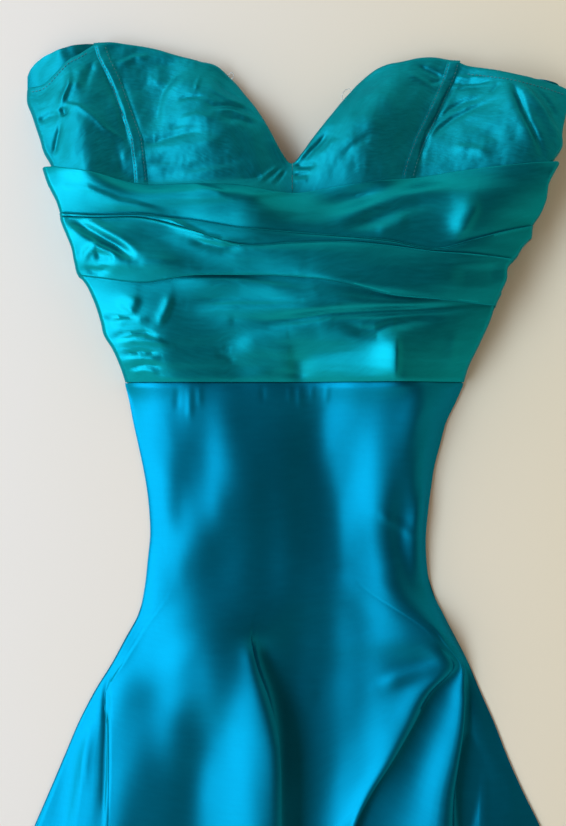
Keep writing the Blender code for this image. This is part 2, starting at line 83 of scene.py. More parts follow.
# Solving of the forms that have the tilts of a table.
TILT_PLACES = 300  # places across at which a row of tilts is read
TILT_HOLD = 0.25  # how strongly the tilted sections keep to each other
TILT_TURNS = 700
TILT_OVERSTEP = 1.9  # each turn's step, as a share of the way to the neighbours' mean
LEAST_STEP = 0.0005  # distance that two columns count as being apart at least

# Thickness of each cloth as it shows, in metres.
SATIN_THICKNESS = 0.0008
BAND_THICKNESS = 0.00075
CUP_THICKNESS = 0.0024
BACK_CLOTH_THICKNESS = 0.0009
CLOTH_SHARP = math.radians(55)  # a cloth's edges stay sharp past this angle

# Relief of the bust, and its stitches.
NECK_ROLL = 0.0030  # radius of the cups' turned neckline
SIDE_TOP_ROLL = 0.4  # share of that roll along the side panels' top edges
CUP_RELIEF = 1.1  # height of the cups' creases, times their tables' own
RELIEF_START_Y, RELIEF_BLEND = 0.556, 0.012  # it comes in above the band's top edge
STITCH_ASIDE = 0.36  # a strip's stitches from its middle, in widths
PUCKER_LENGTH, PUCKER_BEAT = 0.0031, 0.021
THREAD_TIP = 0.45  # size of a thread at its two ends

# How a crease fades: over this share of its length, down to this share of its height.
CREASE_END, CREASE_END_HEIGHT = 0.3, 0.12

# Side outlines, millimetres: y, x of the left edge, x of the right edge.
SKIRT_OUTLINE = (
    (393, -144.0, 148.5), (368, -140.1, 137.0), (338, -134.0, 127.5), (310, -128.5, 121.8),
    (276, -124.0, 116.8), (250, -124.2, 115.8), (229, -126.0, 118.4), (204, -130.5, 126.0),
    (172, -143.0, 140.9), (144, -158.0, 153.6), (113, -177.9, 168.2), (56, -201.4, 190.0),
    (8, -222.2, 213.6), (-60, -250.0, 245.0), (-200, -304.0, 300.0), (-400, -378.0, 376.0),
    (-630, -460.0, 460.0), (-700, -484.0, 484.0),
)
DRAPE_OUTLINE = (
    (576, -214.0, 225.5), (559, -208.0, 216.6), (545, -201.2, 215.3), (536, -198.6, 211.3),
    (529, -197.0, 205.5), (518, -192.5, 203.8), (508, -188.2, 196.6), (495, -185.7, 190.6),
    (487, -183.8, 183.6), (480, -177.8, 183.0), (468, -171.7, 176.6), (447, -164.7, 169.6),
    (435, -161.8, 164.6), (424, -155.2, 160.0), (407, -148.3, 152.6), (391, -144.0, 148.5),
)
CUP_OUTLINE = (
    (664, -229.6, 236.0), (646, -229.8, 239.0), (634, -229.2, 239.4), (623, -224.8, 235.0),
    (612, -221.0, 231.6), (600, -216.8, 229.0), (589, -213.3, 228.4), (579, -207.6, 221.6),
    (560, -202.6, 212.0), (540, -194.6, 206.0), (530, -192.0, 200.0),
)

# Form of the bodice under its cloth. A row is one section, millimetres: y, then x and height of
# the 21 lines that run down it, from the left side to the right one.
BODY_LINES = (
    (680, -228, 8, -217, 9, -204, 11, -190, 13, -169, 14, -156, 13, -139, 11.5, -96, 11, -84,
     11, -76, 11, -66, 11, 80, 11, 94, 12, 114, 12.5, 134, 12, 146, 12, 161, 13, 178, 15, 190,
     15, 212, 12, 235, 10),
    (663, -228, 10, -216, 12, -203, 15, -189, 18, -165, 18.5, -152, 15.5, -135, 13.5, -96, 15,
     -84, 17.5, -76, 15.5, -66, 13, 80, 13, 93, 18, 113, 17.5, 129, 16.5, 142, 16.5, 158, 20,
     176, 24, 188, 24, 210, 20, 234, 15),
    (646, -229, 6, -218, 10.5, -205, 16.5, -187, 24, -160.4, 21, -151.9, 18.5, -129.2, 15.4,
     -109.8, 18.4, -79, 25, -63, 20.5, -51, 13, 58, 12, 81, 26.2, 108, 22.5, 125, 18.8, 138,
     18, 160, 25.5, 177, 33.8, 190, 33.8, 213, 25.5, 233, 18),
    (630, -226, 12, -215, 17.2, -200, 22.5, -182, 29.2, -156.2, 24, -147.7, 22.5, -126.6, 19.2,
     -113.2, 21, -74, 30, -51, 25.5, -36, 17.5, 42, 18, 72, 33.8, 101, 28.5, 117, 23.2, 130,
     21.8, 159, 31.5, 184, 41.2, 199, 39.8, 216, 33, 231, 25.5),
    (613, -221, 16.5, -210, 21, -196, 26.2, -176, 33.8, -155.3, 27.5, -146, 25.8, -125.8, 22.6,
     -113.2, 24.4, -68, 34.5, -42, 29.5, -24, 21.5, 28, 22.5, 63, 39, 92, 33, 109, 26.2, 122,
     24.8, 152, 35.2, 189, 46.5, 205, 43.5, 217, 37.5, 226, 31.5),
    (596, -216, 21, -205, 24, -193, 28.5, -173.9, 36.5, -158.7, 30.5, -147.7, 28.3, -124.1, 25.4,
     -109.8, 27.4, -68, 36.5, -35, 31, -15, 22.8, 14, 22.5, 58, 41.2, 83, 36, 102, 28.5, 115, 27,
     146, 37.5, 192, 49.5, 210, 45.8, 219, 40.5, 226, 36),
    (579, -209, 24, -200, 26.2, -189, 30, -173.9, 37.5, -158.7, 32, -146.9, 29, -122.4,
     28.3, -109, 29.8, -70, 36, -31, 31, -1, 21, 19, 29.2, 58, 40.5, 81, 36.8, 97, 30.8, 109,
     29.2, 141, 38.2, 191, 48.8, 208, 45.8, 215, 42, 222, 39),
    (562, -206, 27, -197, 28.5, -186, 31.5, -168, 37.5, -142, 28.5, -128, 26.2, -120, 26.2,
     -107, 28.5, -73, 34.5, -35, 33, -1, 26.2, 27, 33, 60, 39, 83, 36, 93, 32.2, 105, 30.8, 135,
     37.5, 184, 45, 205, 43.5, 212, 42, 219, 40.5),
    (541, -205, 24, -194, 27.8, -182, 30.8, -162, 35.2, -137, 37.5, -125, 39, -115, 40.5, -97,
     42.8, -66, 46.5, -43, 47.2, -9, 30.8, 22, 27.8, 57, 31.5, 81, 36, 94, 37.5, 108, 39, 137,
     40.5, 169, 36.8, 190, 33.8, 201, 31.5, 212, 29.2),
    (505, -192, 24, -183, 27, -172, 29.2, -157, 30.8, -136, 30.8, -124, 30.8, -113, 30, -96, 30,
     -69, 30.8, -36, 30, -4, 28.5, 28, 27.8, 57, 28.5, 78, 29.2, 92, 29.2, 106, 30, 132, 30,
     162, 29.2, 175, 28.5, 182, 27.8, 190, 26.2),
    (460, -177, 16.5, -170, 18, -161, 20.2, -148, 22.5, -130, 24.8, -118, 25.5, -107, 25.5, -91,
     25.5, -66, 26.2, -36, 28.5, -1, 30, 28, 28.5, 55, 27, 76, 27, 89, 27, 103, 26.2, 125, 25.5,
     150, 24, 161, 23.2, 166, 22.5, 173, 21.8),
    (420, -160, 14, -154, 17, -145, 19.5, -134, 22, -120, 23.5, -110, 23, -99, 21, -85, 18.5,
     -63, 16.5, -34, 15.5, -1, 14, 25, 17, 50, 25, 67, 30, 78, 33, 90, 31, 110, 25.5, 132, 21.5,
     143, 19, 148, 17.5, 154, 15),
    (391, -144, 8, -138, 12, -131, 15, -121, 17, -110, 17.5, -101, 17, -91, 16, -77, 14.5, -57,
     13, -32, 11.5, -1, 9, 24, 11, 46, 18, 61, 23, 71, 26.5, 81, 28, 96, 25, 119, 19, 130, 15.5,
     137, 13, 145, 8),
)

# Tilt of the form under the midriff band, as rows of millimetres: y, then x and the rise per
# millimetre towards +X.
BAND_TILTS = (
    (556, -203, 0.2, -198, 0.26, -182, 0.26, -170, 0.18, -153, 0.14, -119, 0.12, -86, 0.16, -73,
     0.24, -59, 0.18, -44, 0.06, -25, 0, 6, -0.04, 57, 0.02, 99, 0, 149, -0.11, 183, -0.34, 199,
     -0.51, 215, -0.68),
    (541, -197, 0.22, -192, 0.28, -176, 0.24, -161, 0.2, -140, 0.19, -119, 0.15, -98, 0.15, -77,
     0.2, -52, 0.22, -40, 0.13, -30, -0.07, -17, -0.19, 32, -0.15, 44, 0.03, 67, 0.06, 90, 0.03,
     116, 0, 127, 0.13, 139, 0.13, 147, -0.07, 174, -0.35, 191, -0.52, 210, -0.7),
    (528, -193, 0.21, -188, 0.25, -176, 0.24, -161, 0.18, -128, 0.16, -107, 0.15, -89, 0.24,
     -73, 0.28, -44, 0.25, -34, 0.1, -24, -0.16, 23, -0.2, 36, -0.02, 58, 0.03, 78, 0.13, 90,
     0.11, 103, 0.02, 121, 0.08, 129, 0.21, 137, 0.16, 146, -0.08, 166, -0.42, 187, -0.62, 204,
     -0.83),
    (516, -188, 0.16, -183, 0.2, -173, 0.16, -161, 0.11, -145, 0.14, -128, 0.1, -98, 0.22, -79,
     0.32, -44, 0.34, -25, 0.2, 6, 0.11, 36, 0, 57, -0.07, 90, -0.13, 116, -0.02, 126, 0.09,
     134, 0.09, 142, -0.12, 166, -0.43, 183, -0.55, 198, -0.74),
    (503, -181, 0.26, -176, 0.32, -165, 0.28, -149, 0.18, -128, 0.14, -103, 0.06, -77, 0.02,
     -59, 0.02, -44, 0.02, -25, -0.02, 6, -0.02, 44, 0, 90, -0.08, 124, -0.09, 157, -0.25, 174,
     -0.32, 187, -0.43),
    (491, -178, 0.28, -171, 0.34, -151, 0.3, -132, 0.18, -107, 0.07, -61, 0.0, -31, 0.02, -2,
     0.05, 15, 0.04, 48, -0.04, 90, -0.08, 124, -0.15, 149, -0.36, 166, -0.46, 179, -0.62),
    (478, -173, 0.15, -168, 0.18, -151, 0.16, -128, 0.15, -94, 0.14, -61, 0.16, -19, 0.16, 11,
     0.15, 27, 0.05, 53, -0.05, 82, -0.09, 107, -0.12, 132, -0.31, 157, -0.46, 176, -0.62),
    (464, -166, 0.16, -161, 0.2, -141, 0.18, -124, 0.1, -107, 0.09, -86, 0.14, -44, 0.18, 11,
     0.18, 27, 0.11, 44, -0.05, 82, -0.17, 107, -0.17, 132, -0.34, 153, -0.44, 168, -0.58),
    (451, -162, 0.25, -156, 0.3, -141, 0.29, -121, 0.21, -109, 0.08, -94, -0.02, -77, 0.08, -51,
     0.19, 6, 0.21, 19, 0.07, 36, -0.13, 82, -0.17, 107, -0.17, 132, -0.31, 149, -0.39, 165,
     -0.47),
    (439, -159, 0.26, -154, 0.3, -141, 0.28, -123, 0.18, -111, 0.08, -94, -0.05, -69, 0, -44,
     0.1, -4, 0.14, 10, 0.16, 25, 0.1, 48, 0.1, 69, 0.06, 86, -0.16, 116, -0.27, 141, -0.4, 161,
     -0.53),
    (427, -154, 0.23, -149, 0.27, -134, 0.23, -111, 0.14, -98, -0.02, -61, -0.06, -44, 0.04, -6,
     0.06, 6, 0.18, 25, 0.25, 72, 0.27, 82, 0.23, 86, -0.12, 92, -0.33, 116, -0.39, 141, -0.52,
     157, -0.62),
    (414, -148, 0.22, -143, 0.27, -126, 0.23, -109, 0.13, -99, -0.05, -61, -0.08, -44, 0.07,
     -25, 0.1, -5, 0.04, 8, 0.18, 22, 0.26, 77, 0.28, 83, 0.25, 86, -0.13, 91, -0.4, 116, -0.43,
     137, -0.52, 152, -0.62),
    (402, -143, 0.26, -138, 0.32, -118, 0.26, -106, 0.12, -96, -0.06, -52, -0.08, -39, 0.06,
     -29, 0.04, -19, -0.08, -0, -0.04, 10, 0.24, 20, 0.32, 77, 0.34, 83, 0.3, 86, -0.1, 91,
     -0.44, 116, -0.51, 132, -0.58, 146, -0.7),
    (391, -139, 0.24, -134, 0.28, -113, 0.24, -93, 0.09, -77, -0.02, -47, -0.02, -35, 0.04, -25,
     -0.01, -15, -0.07, 3, -0.05, 11, 0.2, 22, 0.28, 77, 0.31, 83, 0.26, 87, -0.11, 92, -0.48,
     116, -0.54, 132, -0.61, 142, -0.74),
)

# Neckline from the left boning channel over the V to the right one, millimetres: x, y.
NECKLINE = (
    (-165.5, 683.9), (-156.7, 684.6), (-140.7, 683.1), (-118.5, 679.7), (-102.2, 674.6),
    (-79.7, 667.9), (-62.7, 663.1), (-55.8, 657.1), (-47.1, 648.8), (-39.3, 638.1), (-32.4, 629.0),
    (-25.2, 617.6), (-18.0, 604.9), (-9.5, 588.8), (-1.0, 578.6), (8.3, 587.1), (16.0, 598.1),
    (25.3, 610.0), (34.7, 622.2), (44.1, 634.7), (54.6, 647.5), (63.3, 655.9), (71.9, 661.8),
    (79.7, 665.1), (92.4, 666.8), (110.8, 670.6), (118.1, 671.1), (139.3, 668.0),
)

# Top edges of the side panels of the bust, millimetres: x, y, from the channel outward.
LEFT_SIDE_TOP = (
    (-165.5, 683.9), (-171.7, 680.5), (-181.1, 673.7), (-190.9, 668.4), (-198.8, 660.2),
    (-211.5, 649.1), (-229.8, 646.5),
)
RIGHT_SIDE_TOP = (
    (139.3, 668.0), (146.0, 663.8), (155.9, 660.5), (168.1, 657.0), (178.7, 653.8), (188.0, 651.2),
    (202.3, 648.8), (216.1, 646.3), (228.8, 643.4), (237.6, 639.5),
)

# Middle of the boning channels, millimetres: y, x on the left, x on the right.
CHANNELS = (
    (684, -165.0, 141.0), (670, -160.5, 139.0), (653, -152.0, 134.0), (640, -147.2, 128.4),
    (620, -139.8, 119.3), (598, -131.5, 108.5), (575, -128.5, 100.0), (555, -127.0, 95.0),
    (535, -126.5, 92.0),
)

# Top edge of the back of the bust, millimetres: distance out from the middle, y on each side.
BACK_TOP_LEFT = (
    (0.0, 560.4), (27.8, 569.1), (62.6, 595.2), (97.4, 628.0), (138.0, 667.0), (155.0, 681.0),
    (167.5, 685.7), (172.6, 685.3), (185.5, 683.1), (197.5, 679.7), (204.6, 677.5), (217.7, 672.7),
    (224.4, 667.9), (228.1, 663.0), (229.9, 658.5),
)
BACK_TOP_RIGHT = (
    (0.0, 560.4), (34.0, 570.0), (67.0, 595.0), (101.0, 631.0), (124.0, 660.0), (138.9, 671.0),
    (150.8, 667.7), (157.0, 665.6), (172.5, 662.1), (187.5, 659.5), (202.5, 655.3), (218.5, 652.0),
    (229.3, 647.9), (236.6, 641.9),
)

# Pleat folds of the midriff band. A row is a fold's edge, from the left side seam to the right
# one: its y in millimetres at each of the stations across the front.
STATIONS = (-200, -165, -125, -85, -45, 0, 40, 80, 120, 150, 185, 220)
PLEAT_FOLDS = {
    "top": (574.0, 567.0, 558.5, 557.6, 556.4, 551.2, 556.0, 560.6, 565.6, 568.6, 571.5, 575.0),
    "upper": (535.6, 533.2, 532.6, 528.0, 520.6, 516.4, 513.2, 509.2, 502.6, 510.0, 519.6, 528.6),
    "middle": (531.4, 529.4, 528.8, 518.6, 506.2, 507.4, 508.2, 504.6, 499.4, 497.8, 495.4, 492.6),
    "lower": (485.6, 481.0, 476.4, 481.6, 481.8, 479.8, 474.4, 464.4, 461.0, 458.6, 457.6, 462.0),
    "waist": (392.8,) * len(STATIONS),
}

# Creases. A row is one soft ridge or trough, millimetres: its height (minus is a trough), how
# wide it is to the left and to the right of its own direction, then x and y of its points.
DRAPE_CREASES = (
    (1.6, 1.5, 7, -201, 554, -190, 556, -170, 554, -158, 549, -145, 544, -128, 540, -113, 536,
     -99, 533),
    (2.6, 10, 24, -187, 565, -153, 560, -120, 555, -78, 550, -51, 546, -34, 543),
    (1.4, 1.6, 4, -89, 560, -75, 555, -61, 550, -50, 546),
    (1.0, 1.5, 3, -44, 545, -27, 548, -10, 552, 9, 554),
    (-3.4, 8, 8, -30, 533, -2, 532, 17, 534, 40, 541, 65, 550, 90, 558),
    (2.2, 7, 7, 27, 521, 44, 529, 65, 537, 90, 544, 116, 551, 141, 557),
    (-2.0, 6, 6, 40, 519, 61, 525, 82, 534, 107, 540, 128, 542),
    (1.2, 4, 5, 67, 515, 86, 523, 97, 530),
    (2.4, 5, 10, 151, 544, 148, 533, 141, 520, 134, 509),
    (2.2, 2.5, 5, -113, 529, -101, 526, -86, 519, -73, 513, -59, 509, -44, 508, -32, 509),
    (-1.8, 2.5, 4, -88, 512, -73, 507, -57, 503, -38, 503),
    (-3.4, 3.6, 3.6, -187, 529, -170, 519, -149, 507, -128, 493),
    (1.2, 3.4, 3.4, -180, 530, -163, 523, -142, 511, -121, 497),
    (1.6, 3.4, 7, -193, 526, -177, 515, -159, 503, -138, 491),
    (-2.2, 9, 10, -141, 522, -120, 513, -96, 503, -73, 495, -48, 490, -20, 489, 10, 490),
    (1.8, 2.6, 3, -175, 492, -172, 500, -163, 506, -151, 502, -138, 495),
    (-1.6, 2.6, 4, -166, 499, -156, 497, -147, 495),
    (2.0, 3.5, 8, -168, 490, -149, 491, -128, 492, -107, 492, -86, 490),
    (-1.6, 1.6, 2, -175, 487, -163, 485, -150, 488),
    (1.5, 5, 3, 6, 482, 32, 477, 57, 472, 90, 468, 121, 464),
    (-2.0, 7, 8, 128, 479, 153, 480, 179, 484),
    (0.8, 2, 4, 116, 488, 145, 490, 176, 493),
    (2.2, 3, 8, -104, 478, -78, 477, -44, 476, -10, 471, 17, 467),
    (-1.2, 3, 3, -88, 460, -52, 460, -19, 460, 6, 460),
    (1.8, 3.5, 6, -86, 455, -44, 457, -2, 455, 36, 455),
    (-4.4, 3.5, 4.5, -48, 444, -19, 443, 6, 445, 32, 449, 57, 450, 82, 451, 103, 452, 132, 454,
     164, 457),
    (1.4, 4, 4, 23, 462, 57, 459, 90, 457, 124, 458),
    (1.7, 7, 12, -54, 421, -25, 429, -2, 434, 22, 438),
    (-2.2, 4, 5, 36, 442, 57, 435, 69, 434, 80, 439, 99, 443, 132, 446),
    (2.8, 4, 14, 85, 433, 85, 418, 85, 404, 83, 389),
    (-1.8, 9, 9, 5, 418, 6, 403, 4, 392),
    (1.2, 4, 13, -4, 424, -4, 399),
    (1.4, 3, 5, -101, 467, -103, 459, -107, 449, -114, 439),
    (1.6, 4, 10, -131, 466, -133, 458, -138, 449),
    (-1.6, 1.6, 2.2, -162, 448, -146, 447, -126, 446),
    (1.4, 2, 4, -155, 443, -138, 445, -118, 445),
    (-1.8, 1.7, 2.2, -156, 430, -143, 433, -124, 434, -109, 429),
    (1.6, 2.2, 4, -150, 426, -132, 429, -113, 427, -101, 423),
    (-1.5, 1.6, 2.2, -145, 416, -128, 418, -111, 416),
    (1.4, 2, 4, -144, 413, -128, 414, -109, 413),
    (-1.2, 1.6, 2.2, -138, 404, -124, 408, -109, 406),
    (1.2, 2, 4, -141, 401, -128, 403, -111, 401),
    (-0.5, 3, 3, -66, 419, -57, 415, -47, 409),
    (-0.3, 3, 3, -59, 422, -51, 418),
    (0.9, 5, 6, 137, 436, 134, 419, 131, 401),
)
CUP_CREASES = (
    (-2.2, 4, 12, -90, 662, -102, 651, -110, 641, -113, 633, -115, 621, -116, 605),
    (-0.9, 3, 3, -149, 656, -142, 639, -136, 622, -131, 607, -128, 595),
    (-1.5, 2, 3, -166, 672, -161, 661, -155, 648, -150, 637, -145, 624, -142, 611, -139, 598,
     -137, 585),
    (1.5, 2.2, 4, -151, 663, -144, 666, -135, 671, -122, 672),
    (1.2, 8, 6, -111, 666, -113, 654, -117, 643),
    (-1.4, 2, 2.4, -68, 653, -59, 644, -51, 638, -41, 633),
    (1.2, 2.2, 2.6, -73, 646, -64, 638, -53, 631, -37, 626),
    (-1.4, 2, 2.4, -75, 629, -67, 624, -52, 625, -42, 624, -31, 618),
    (1.2, 2, 2.6, -66, 620, -51, 621, -39, 617, -27, 613),
    (-1.1, 2, 3, -59, 613, -44, 613, -31, 609),
    (-1.2, 1.6, 2, -97, 630, -90, 633, -81, 633, -73, 633),
    (0.9, 1.6, 2, -82, 638, -80, 646, -78, 654),
    (-1.5, 2.5, 3, -130, 595, -116, 595, -102, 599, -86, 602, -72, 602),
    (1.3, 5, 6, -120, 587, -99, 589, -78, 591, -53, 594),
    (-1.0, 3, 3, -124, 578, -107, 578, -91, 578, -76, 580),
    (-1.0, 3, 4, -107, 569, -82, 573, -53, 578, -29, 582),
    (1.0, 3, 5, -99, 564, -74, 567, -44, 572),
    (0.9, 3, 4, -98, 612, -81, 616, -64, 612),
    (-0.9, 3, 3, -105, 607, -90, 609, -75, 607),
    (2.6, 2.5, 3, -189, 656, -189, 644, -193, 634, -196, 625),
    (-2.4, 3, 3, -194, 625, -191, 616),
    (-1.6, 2.4, 4, -217, 614, -206, 619, -195, 619),
    (1.6, 1.6, 3.4, -196, 628, -179, 624, -167, 616, -157, 606, -142, 597),
    (-1.5, 2, 2.2, -195, 612, -198, 599, -202, 582),
    (1.4, 4, 5, -178, 663, -181, 651, -184, 638),
    (-1.2, 3, 3, -169, 666, -173, 653, -176, 639),
    (-0.7, 3.4, 3.4, -147, 589, -144, 576, -144, 565),
    (-2.2, 2.6, 3, -46, 561, -36, 562, -24, 566),
    (1.2, 2.0, 2.0, -31, 558, -22, 566, -11, 575),
    (-1.2, 1.8, 1.8, -26, 556, -19, 565, -9, 574),
    (1.2, 1.8, 1.8, -20, 556, -14, 565, -7, 573),
    (-1.1, 1.6, 1.6, -15, 556, -9, 566, -5, 573),
)
RIGHT_CUP_CREASES = (
    (-1.9, 2.5, 3, 6, 577, 17, 588, 23, 594, 32, 604),
    (1.2, 2.4, 4, 22, 581, 30, 589, 37, 598),
    (-1.0, 3, 4, 38, 577, 50, 588, 62, 596, 77, 603),
    (-0.9, 3, 3, 49, 613, 59, 625, 65, 636),
    (-1.7, 2, 2.6, 106, 662, 118, 657, 130, 651),
    (1.0, 2.5, 3, 97, 655, 111, 648, 123, 643),
    (-1.2, 2, 2.4, 114, 646, 123, 648, 128, 650),
    (-2.4, 3, 2.2, 144, 660, 135, 643, 129, 632, 123, 618, 114, 603, 109, 588, 107, 567),
    (-1.5, 2, 3, 122, 612, 133, 623, 145, 629, 161, 631),
    (-1.6, 2, 3, 114, 594, 124, 606, 135, 614, 150, 621, 170, 628),
    (-1.3, 1.5, 2, 134, 649, 145, 646, 158, 645, 170, 647),
    (1.1, 1.5, 2, 138, 653, 149, 651, 163, 650),
    (-1.2, 1.5, 2, 137, 641, 149, 642, 163, 641),
    (-1.1, 7, 7, 135, 614, 154, 606, 168, 593, 179, 577),
    (1.2, 3, 4, 133, 589, 149, 586, 166, 579),
    (2.2, 3.2, 9, 177, 648, 181, 630, 186, 613, 192, 599, 199, 586, 204, 571),
    (-2.4, 2.6, 3, 182, 644, 189, 625, 194, 609, 201, 593, 207, 579),
    (2.6, 3, 6, 181, 649, 196, 634, 209, 617, 218, 600, 219, 585),
    (-1.6, 3, 4, 200, 640, 213, 626, 221, 611),
    (-0.9, 2, 2, 165, 633, 170, 638, 175, 643),
    (-1.6, 3, 3, 1, 577, 12, 574, 22, 576),
    (1.1, 2.2, 2.4, 1, 571, 8, 571, 17, 572),
    (-1.1, 2.2, 2.4, 1, 566, 7, 567, 16, 567),
    (1.0, 2.0, 2.4, 1, 561, 6, 562, 14, 562),
)
SKIRT_CREASES = (
    (0.5, 3, 3, -87, 390, -88, 360), (0.35, 2.5, 2.5, -79, 390, -79, 372),
    (-0.4, 3, 3, -97, 390, -99, 368), (0.3, 2, 2, -2, 390, -2, 375),
    (0.45, 2.5, 2.5, 6, 390, 7, 370), (0.3, 2, 2, 17, 390, 17, 377),
    (0.3, 2, 2, 30, 390, 29, 375), (-0.3, 2, 2, -25, 390, -25, 376),
    (1.8, 7, 5, 130, 152, 110, 146, 91, 140, 73, 131),
    (0.8, 4, 4, 72, 282, 89, 272, 108, 259),
    (-1.6, 1.6, 3, -155, 150, -161, 129, -160, 86, -160, 55, -162, 13, -162, -6),
    (0.9, 3, 3, -175, 95, -179, 66, -189, 9, -192, -12),
    (0.7, 2, 2, 167, 65, 165, 41, 163, -5), (0.6, 2, 2, 188, 58, 190, 41, 192, 16),
)

